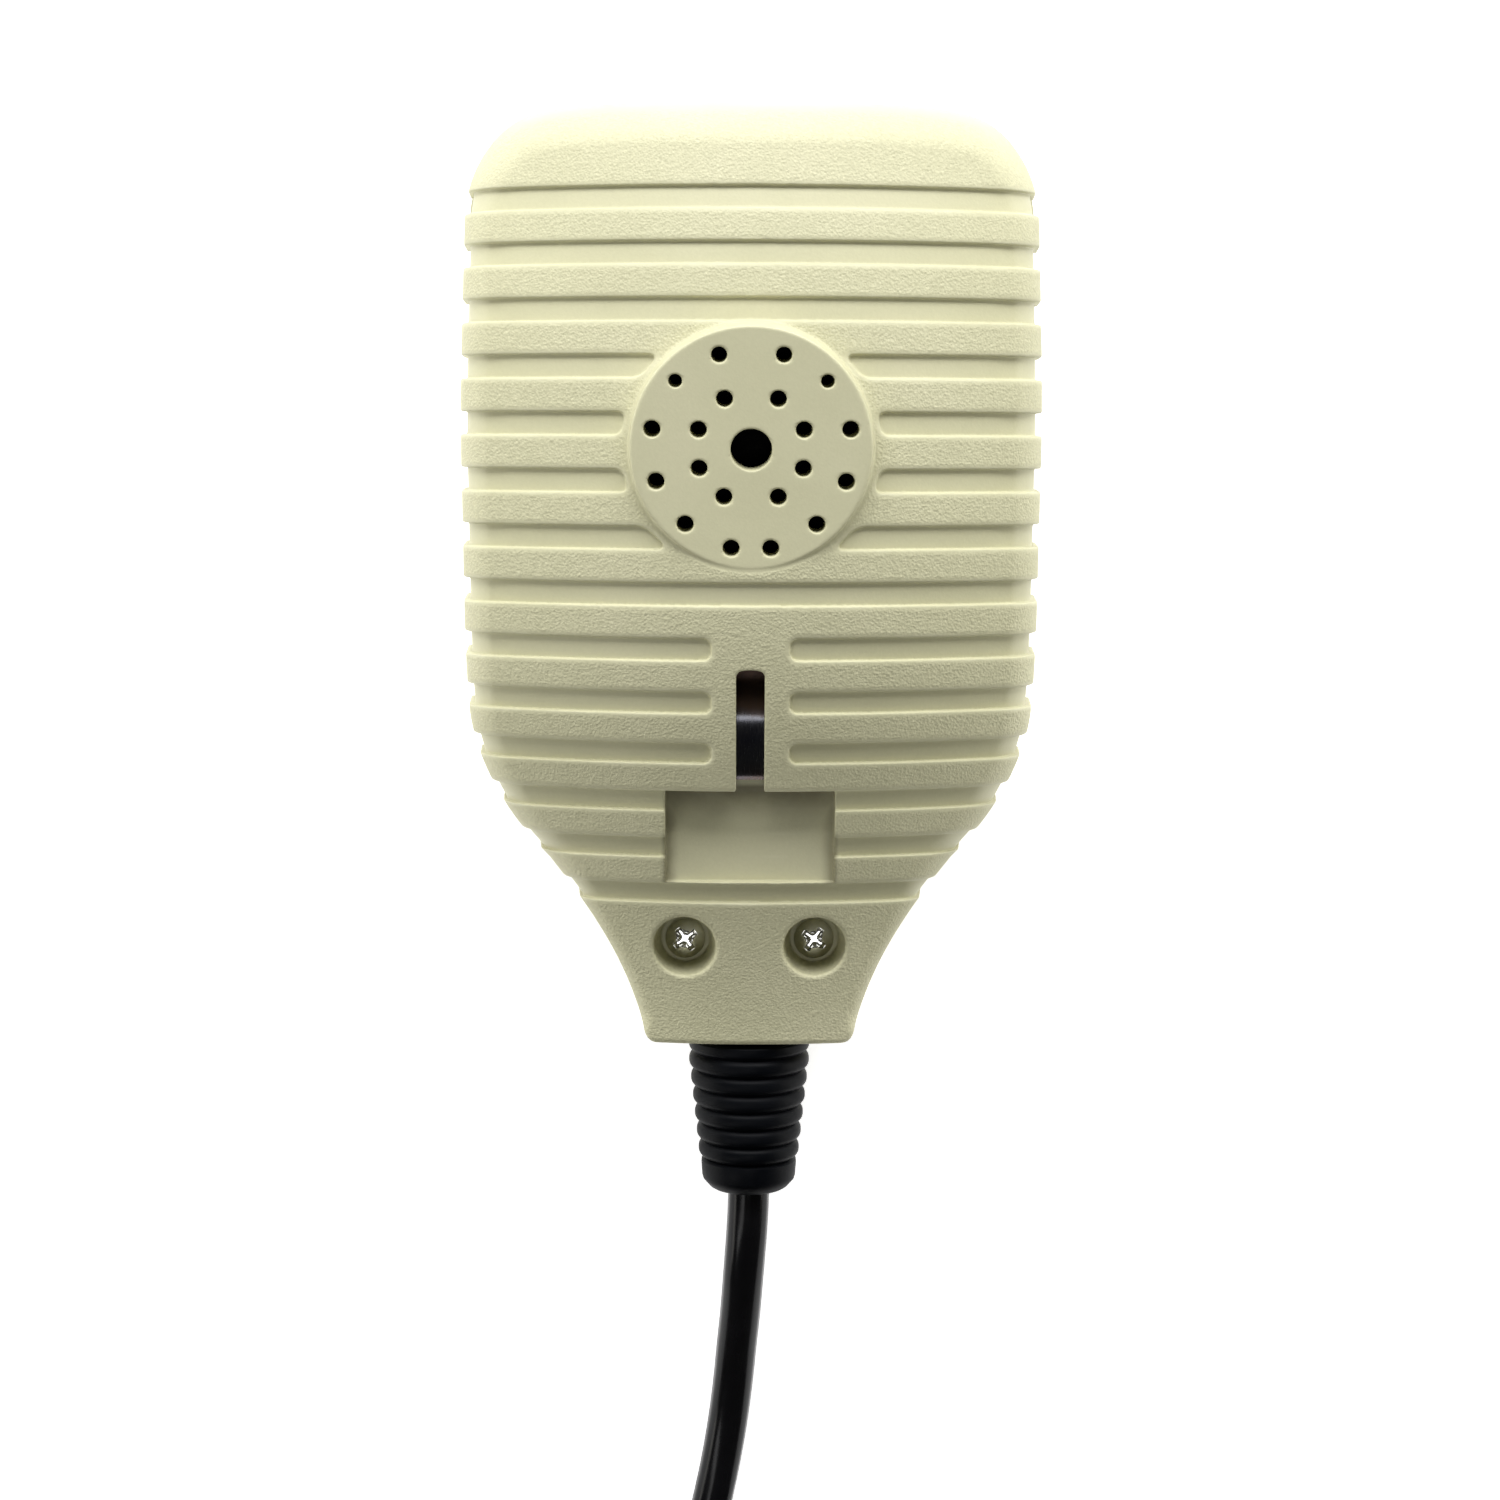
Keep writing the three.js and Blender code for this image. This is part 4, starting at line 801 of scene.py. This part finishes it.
class Nodes:
    """Shorthand for building one material's node tree."""

    def __init__(self, name):
        self.material = bpy.data.materials.new(name)
        self.material.use_nodes = True
        self.tree = self.material.node_tree
        self.shader = self.tree.nodes["Principled BSDF"]
        self.coordinates = self.tree.nodes.new("ShaderNodeTexCoord").outputs["Object"]

    def link(self, source, target):
        self.tree.links.new(source, target)

    def set(self, **values):
        for name, value in values.items():
            self.shader.inputs[name.replace("_", " ")].default_value = value

    def drive(self, name, source):
        self.link(source, self.shader.inputs[name])

    def stretched(self, scale):
        node = self.tree.nodes.new("ShaderNodeMapping")
        node.inputs["Scale"].default_value = scale
        self.link(self.coordinates, node.inputs["Vector"])
        return node.outputs["Vector"]

    def noise(self, scale, detail=3.0, roughness=0.55, vector=None):
        node = self.tree.nodes.new("ShaderNodeTexNoise")
        node.inputs["Scale"].default_value = scale
        node.inputs["Detail"].default_value = detail
        node.inputs["Roughness"].default_value = roughness
        self.link(vector or self.coordinates, node.inputs["Vector"])
        return node.outputs["Fac"]

    def cells(self, scale, feature="F1", vector=None):
        node = self.tree.nodes.new("ShaderNodeTexVoronoi")
        node.feature = feature
        node.inputs["Scale"].default_value = scale
        self.link(vector or self.coordinates, node.inputs["Vector"])
        return node.outputs["Distance"]

    def wave(self, scale, direction, distortion=0.0, vector=None):
        node = self.tree.nodes.new("ShaderNodeTexWave")
        node.bands_direction = direction
        node.inputs["Scale"].default_value = scale
        node.inputs["Distortion"].default_value = distortion
        self.link(vector or self.coordinates, node.inputs["Vector"])
        return node.outputs["Fac"]

    def attribute(self, name):
        node = self.tree.nodes.new("ShaderNodeAttribute")
        node.attribute_name = name
        return node.outputs["Fac"]

    def ramp(self, source, *stops):
        node = self.tree.nodes.new("ShaderNodeValToRGB")
        elements = node.color_ramp.elements
        while len(elements) < len(stops):
            elements.new(0.5)
        for element, (position, colour) in zip(elements, stops):
            element.position = position
            element.color = (*colour, 1)
        self.link(source, node.inputs["Fac"])
        return node.outputs["Color"]

    def spread(self, source, low, high, to_low, to_high):
        node = self.tree.nodes.new("ShaderNodeMapRange")
        node.inputs["From Min"].default_value = low
        node.inputs["From Max"].default_value = high
        node.inputs["To Min"].default_value = to_low
        node.inputs["To Max"].default_value = to_high
        self.link(source, node.inputs["Value"])
        return node.outputs["Result"]

    def maths(self, operation, a, b):
        node = self.tree.nodes.new("ShaderNodeMath")
        node.operation = operation
        for socket, value in zip(node.inputs, (a, b)):
            if isinstance(value, (int, float)):
                socket.default_value = value
            else:
                self.link(value, socket)
        return node.outputs["Value"]

    def mix(self, factor, a, b, blend="MIX"):
        node = self.tree.nodes.new("ShaderNodeMix")
        node.data_type = "RGBA"
        node.blend_type = blend
        sockets = [s for s in node.inputs if s.type == "RGBA"]
        for socket, value in zip([node.inputs["Factor"]] + sockets, (factor, a, b)):
            if isinstance(value, (int, float)):
                socket.default_value = value
            elif isinstance(value, tuple):
                socket.default_value = (*value, 1)
            else:
                self.link(value, socket)
        return next(s for s in node.outputs if s.type == "RGBA")

    def bump(self, height, strength, distance, before=None):
        node = self.tree.nodes.new("ShaderNodeBump")
        node.inputs["Strength"].default_value = strength
        node.inputs["Distance"].default_value = distance
        self.link(height, node.inputs["Height"])
        if before is not None:
            self.link(before, node.inputs["Normal"])
        return node.outputs["Normal"]


def case_plastic():
    """Cream moulded plastic: spark-eroded grain on the ribs, smooth grooves, faint dust specks, worn edges,
    and painted shade mixed with soil in the hanger recess.
    """
    nodes = Nodes("case_plastic")
    grain = nodes.attribute("grain")
    cloudy = nodes.noise(55, 4, 0.6)
    fine = nodes.noise(2600, 2, 0.6)
    dull, cream, pale = (0.575, 0.56, 0.365), (0.6, 0.585, 0.385), (0.63, 0.61, 0.41)
    base = nodes.ramp(cloudy, (0.3, dull), (0.5, cream), (0.72, pale))
    speckle = nodes.ramp(fine, (0.38, (0.9, 0.9, 0.885)), (0.62, (1.04, 1.04, 1.05)))
    base = nodes.mix(nodes.spread(grain, 0, 1, 0.2, 0.75), base, nodes.mix(1.0, base, speckle, "MULTIPLY"))
    patches = nodes.spread(nodes.noise(180, 3), 0.45, 0.7, 0.0, 0.35)
    worn = nodes.maths("MULTIPLY", nodes.attribute("edge"), patches)
    base = nodes.mix(worn, base, (0.7, 0.685, 0.5))
    dust = nodes.spread(nodes.cells(95), 0.0, 0.035, 0.5, 0.0)
    dust = nodes.maths("MULTIPLY", dust, nodes.spread(cloudy, 0.5, 0.62, 0, 1))
    base = nodes.mix(dust, base, (0.25, 0.23, 0.13))
    # Painted shade, partly soil: dark brown mixed in under the recess lip and along its walls, where shade
    # falls.
    thick = nodes.spread(nodes.noise(320, 4), 0.3, 0.6, 0.75, 0.95)
    soil_and_painted_shade = nodes.maths("MULTIPLY", nodes.attribute("soil_and_painted_shade"), thick)
    base = nodes.mix(soil_and_painted_shade, base, (0.17, 0.15, 0.075))
    nodes.drive("Base Color", base)
    uneven = nodes.spread(fine, 0.3, 0.7, -0.05, 0.05)
    rough = nodes.maths("ADD", nodes.spread(grain, 0, 1, 0.46, 0.6), uneven)
    nodes.drive("Roughness", rough)
    pebbles = nodes.maths("ADD", nodes.noise(3200, 2, 0.5), nodes.maths("MULTIPLY", nodes.cells(3600), 0.8))
    textured = nodes.maths("MULTIPLY", pebbles, nodes.spread(grain, 0, 1, 0.12, 1.0))
    normal = nodes.bump(textured, 0.65, 0.00009)
    normal = nodes.bump(nodes.noise(70, 2), 0.06, 0.0006, normal)
    nodes.drive("Normal", normal)
    nodes.set(Specular_IOR_Level=0.42)
    return nodes.material


def plain_plastic(name, dark, light, rough, grain_scale=1400, strength=0.25):
    """Moulded plastic with a fine grain and slight colour variation."""
    nodes = Nodes(name)
    colour = nodes.ramp(nodes.noise(90, 4), (0.3, dark), (0.7, light))
    nodes.drive("Base Color", colour)
    nodes.drive("Roughness", nodes.spread(nodes.noise(240, 3), 0.3, 0.7, rough - 0.06, rough + 0.08))
    nodes.drive("Normal", nodes.bump(nodes.noise(grain_scale, 2), strength, 0.0001))
    return nodes.material


def black_rubber():
    """Satin black rubber with a dusty bloom in patches."""
    nodes = Nodes("black_rubber")
    bloom = nodes.spread(nodes.noise(130, 5, 0.65), 0.4, 0.75, 0, 1)
    colour = nodes.mix(bloom, (0.0012, 0.0016, 0.0026), (0.0028, 0.0034, 0.005))
    nodes.drive("Base Color", colour)
    nodes.drive("Roughness", nodes.spread(bloom, 0, 1, 0.42, 0.58))
    nodes.drive("Normal", nodes.bump(nodes.noise(1800, 2), 0.12, 0.00008))
    nodes.set(Specular_IOR_Level=0.07)
    return nodes.material


def cord_jacket():
    """Glossy black jacket with faint drawing marks and smears."""
    nodes = Nodes("cord_jacket")
    smear = nodes.noise(160, 4, 0.6)
    colour = nodes.ramp(smear, (0.3, (0.0025, 0.0025, 0.003)), (0.75, (0.005, 0.005, 0.006)))
    nodes.drive("Base Color", colour)
    nodes.drive("Roughness", nodes.spread(smear, 0.3, 0.75, 0.14, 0.24))
    nodes.drive("Normal", nodes.bump(nodes.noise(700, 2), 0.06, 0.00008))
    nodes.set(Specular_IOR_Level=0.14)
    return nodes.material


def bright_metal(name, dark, light, rough, brushed=None):
    """Plated or rolled metal with tarnish clouds, fine scratches and an optional grain direction."""
    nodes = Nodes(name)
    tarnish = nodes.noise(260, 5, 0.6)
    colour = nodes.ramp(tarnish, (0.3, dark), (0.65, light))
    nodes.drive("Base Color", colour)
    grain = nodes.noise(900, 3, 0.6, nodes.stretched(brushed) if brushed else None)
    nodes.drive("Roughness", nodes.spread(grain, 0.3, 0.7, rough * 0.8, rough * 1.3))
    nodes.drive("Normal", nodes.bump(grain, 0.1, 0.00005))
    nodes.set(Metallic=1.0)
    return nodes.material


def spring_steel_painted_bands():
    """Rolled spring steel, its colour painted in bands along its length for reflection and shade: dark at the
    tip, then blue, grey and brown towards its foot.
    """
    nodes = Nodes("spring_steel")
    split = nodes.tree.nodes.new("ShaderNodeSeparateXYZ")
    nodes.link(nodes.coordinates, split.inputs["Vector"])
    drift = nodes.spread(nodes.noise(300, 3), 0.3, 0.7, -0.0006, 0.0006)
    along = nodes.maths("ADD", split.outputs["Y"], drift)
    place = nodes.spread(along, -0.0206, -0.0066, 0, 1)
    # Painted reflection and shade: these colour bands along the strip stand in for the light and dark bands
    # on its bends.
    blue, grey, brown = (0.045, 0.05, 0.08), (0.1, 0.1, 0.11), (0.16, 0.1, 0.08)
    tip, near_tip = (0.05, 0.035, 0.03), (0.05, 0.055, 0.07)
    stops = ((0.0, tip), (0.14, near_tip), (0.34, blue), (0.5, grey), (0.6, brown), (0.9, brown))
    colour = nodes.ramp(place, *stops)
    rolled = nodes.noise(900, 3, 0.6, nodes.stretched((14, 1, 1)))
    colour = nodes.mix(nodes.spread(rolled, 0.3, 0.7, 0, 0.25), colour, (0.16, 0.16, 0.17))
    nodes.drive("Base Color", colour)
    streaks = nodes.spread(rolled, 0.3, 0.7, 0, 0.12)
    dull = nodes.maths("ADD", nodes.spread(place, 0.5, 0.66, 0.16, 0.55), streaks)
    nodes.drive("Roughness", dull)
    nodes.drive("Normal", nodes.bump(rolled, 0.1, 0.00005))
    nodes.set(Metallic=1.0)
    return nodes.material


def woven_cloth():
    """Fine black grille cloth, woven square."""
    nodes = Nodes("grille_cloth")
    warp = nodes.wave(900, "X", 0.4)
    weft = nodes.wave(900, "Y", 0.4)
    weave = nodes.maths("MAXIMUM", warp, weft)
    colour = nodes.ramp(weave, (0.2, (0.01, 0.01, 0.011)), (0.9, (0.05, 0.05, 0.052)))
    nodes.drive("Base Color", colour)
    nodes.drive("Roughness", nodes.spread(weave, 0, 1, 0.95, 0.8))
    nodes.drive("Normal", nodes.bump(weave, 0.5, 0.0001))
    return nodes.material


def felt():
    nodes = Nodes("felt")
    fibres = nodes.noise(1300, 5, 0.7)
    deep, light = (0.0015, 0.0015, 0.0015), (0.006, 0.006, 0.006)
    nodes.drive("Base Color", nodes.ramp(fibres, (0.3, deep), (0.8, light)))
    nodes.drive("Roughness", nodes.spread(fibres, 0, 1, 0.9, 1.0))
    nodes.drive("Normal", nodes.bump(fibres, 0.6, 0.0002))
    nodes.set(Specular_IOR_Level=0.1)
    return nodes.material


def circuit_board():
    """Brown laminate with a paper fibre look."""
    nodes = Nodes("board")
    fibres = nodes.noise(500, 5, 0.7, nodes.stretched((1, 4, 1)))
    nodes.drive("Base Color", nodes.ramp(fibres, (0.3, (0.3, 0.19, 0.08)), (0.7, (0.46, 0.31, 0.14))))
    nodes.drive("Roughness", nodes.spread(fibres, 0, 1, 0.4, 0.6))
    nodes.drive("Normal", nodes.bump(fibres, 0.2, 0.0001))
    return nodes.material


def paper_floor():
    """Pale studio paper, faintly uneven."""
    nodes = Nodes("floor_paper")
    cloud = nodes.noise(6, 3)
    nodes.drive("Base Color", nodes.ramp(cloud, (0.3, (0.9, 0.9, 0.9)), (0.7, (0.93, 0.93, 0.93))))
    nodes.drive("Roughness", nodes.spread(cloud, 0, 1, 0.85, 0.95))
    nodes.set(Specular_IOR_Level=0.1, Emission_Strength=0.75, Emission_Color=(1, 1, 1, 1))
    return nodes.material


def make_materials():
    made = {
        "case_plastic": case_plastic(),
        "talk_bar_plastic": plain_plastic(
            "talk_bar_plastic", (0.02, 0.02, 0.021), (0.034, 0.034, 0.036), 0.5
        ),
        "black_rubber": black_rubber(),
        "cord_jacket": cord_jacket(),
        "screw_steel": bright_metal("screw_steel", (0.6, 0.6, 0.58), (0.78, 0.78, 0.75), 0.11),
        "spring_steel": spring_steel_painted_bands(),
        "capsule_metal": bright_metal("capsule_metal", (0.5, 0.5, 0.49), (0.68, 0.68, 0.66), 0.35),
        "plug_metal": bright_metal("plug_metal", (0.55, 0.53, 0.48), (0.76, 0.74, 0.69), 0.22),
        "contact_brass": bright_metal("contact_brass", (0.62, 0.44, 0.19), (0.83, 0.66, 0.36), 0.25),
        "insulator": plain_plastic("insulator", (0.02, 0.016, 0.014), (0.035, 0.028, 0.024), 0.45),
        "board": circuit_board(),
        "felt": felt(),
        "grille_cloth": woven_cloth(),
        "lead_red": plain_plastic("lead_red", (0.4, 0.02, 0.015), (0.5, 0.04, 0.03), 0.35, 900, 0.1),
        "lead_white": plain_plastic("lead_white", (0.68, 0.68, 0.64), (0.78, 0.78, 0.74), 0.35, 900, 0.1),
        "lead_blue": plain_plastic("lead_blue", (0.03, 0.07, 0.3), (0.05, 0.1, 0.4), 0.35, 900, 0.1),
    }
    return made


# ---------------------------------------- floor and lights


def make_floor():
    """A plain, flat, pale floor."""
    build = bmesh.new()
    bmesh.ops.create_grid(build, x_segments=8, y_segments=8, size=1.6)
    floor = mesh_object("studio_floor", build)
    floor.data.materials.append(paper_floor())


def area_light(name, place, target, size, power, colour=(1, 1, 1)):
    data = bpy.data.lights.new(name, "AREA")
    data.shape = "RECTANGLE"
    data.size, data.size_y = size
    data.energy = power
    data.color = colour
    light = bpy.data.objects.new(name, data)
    light.location = place
    light.rotation_euler = (Vector(target) - Vector(place)).to_track_quat("-Z", "Y").to_euler()
    bpy.context.collection.objects.link(light)


def make_lights():
    """A broad light beyond the top end, low walls at both sides, a card overhead, one by the cord."""
    area_light("key_beyond_top_end", (0, 0.62, 0.4), (0, 0, 0.02), (1.0, 0.4), 9.5, (0.99, 0.99, 1.0))
    area_light("left_wall", (-0.5, 0.05, 0.07), (0, 0.05, 0.02), (0.75, 0.12), 1.0, (1.0, 0.98, 0.92))
    area_light("right_wall", (0.5, 0.1, 0.07), (0, 0.1, 0.02), (0.65, 0.12), 1.0, (1.0, 0.98, 0.92))
    area_light("overhead_card", (0, -0.13, 0.85), (0, -0.02, 0), (0.26, 0.2), 0.6)
    area_light("cord_card", (-0.42, -0.34, 0.52), (0, -0.1, 0), (0.12, 0.4), 0.6)
    world = bpy.data.worlds.new("studio")
    world.use_nodes = True
    background = world.node_tree.nodes["Background"]
    background.inputs["Color"].default_value = (1, 0.96, 0.82, 1)
    background.inputs["Strength"].default_value = 0.065
    bpy.context.scene.world = world


# ---------------------------------------- assembly


def place(piece, body, slot, *nodes):
    """Puts a new piece on its body, in place of its CAD nodes, with its slot's material."""
    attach(piece, body)
    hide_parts(*nodes)
    piece.data.materials.clear()
    piece.data.materials.append(materials[slot])


def dress_cad_nodes():
    """Every CAD node that still shows gets its slot's material."""
    for part in frame["record"]["subparts"]:
        node = frame["nodes"][part["node"]]
        node.data.materials.clear()
        node.data.materials.append(materials[part["material_slot"]])


make_camera()
materials = make_materials()
cord, cord_length = make_cord()
dress_cad_nodes()

place(cord, "case", "cord_jacket", "cord_tail", "cord_curl", "plug_tail")
place(make_rear_cover(), "case", "case_plastic", "rear_cover")
place(make_front_cover(), "case", "case_plastic", "front_cover")
boot = make_boot()
place(boot, "case", "black_rubber", "strain_relief_boot")
plug_body = make_plug_shell()
place(plug_body, "case", "plug_metal", "plug_shell")
plug_ring = make_plug_ring()
place(plug_ring, "plug_coupling_ring", "plug_metal", "plug_coupling_ring")
place(make_hanger_spring(), "hanger_spring", "spring_steel", "hanger_spring")
place(make_talk_bar(), "talk_bar", "talk_bar_plastic", "talk_bar")
place(make_felt(), "case", "felt", "vent_felt")
UPRIGHT = Matrix.Identity(4)
for side, sign, spin in (("left", -1, 0.62), ("right", 1, 0.95)):
    head = screw_mesh(
        f"case_screw_head_{side}",
        CASE_SCREW_SIZE,
        (sign * SCREW["x"], SCREW["y"], SCREW["seat"]),
        UPRIGHT,
        spin,
    )
    place(head, "case", "screw_steel", f"case_screw_{side}")
for number, distance in ((1, 2.4), (2, 6.2)):
    seat = (PLUG_PLACE[0], PLUG_PLACE[1] - distance, PLUG_PLACE[2] + 5.6)
    head = screw_mesh(f"plug_screw_{number}", PLUG_SCREW_SIZE, seat, UPRIGHT, 0.4 * number)
    place(head, "case", "screw_steel", f"plug_clamp_screw_{number}")

make_floor()
make_lights()
bpy.context.scene.view_settings.view_transform = "Standard"
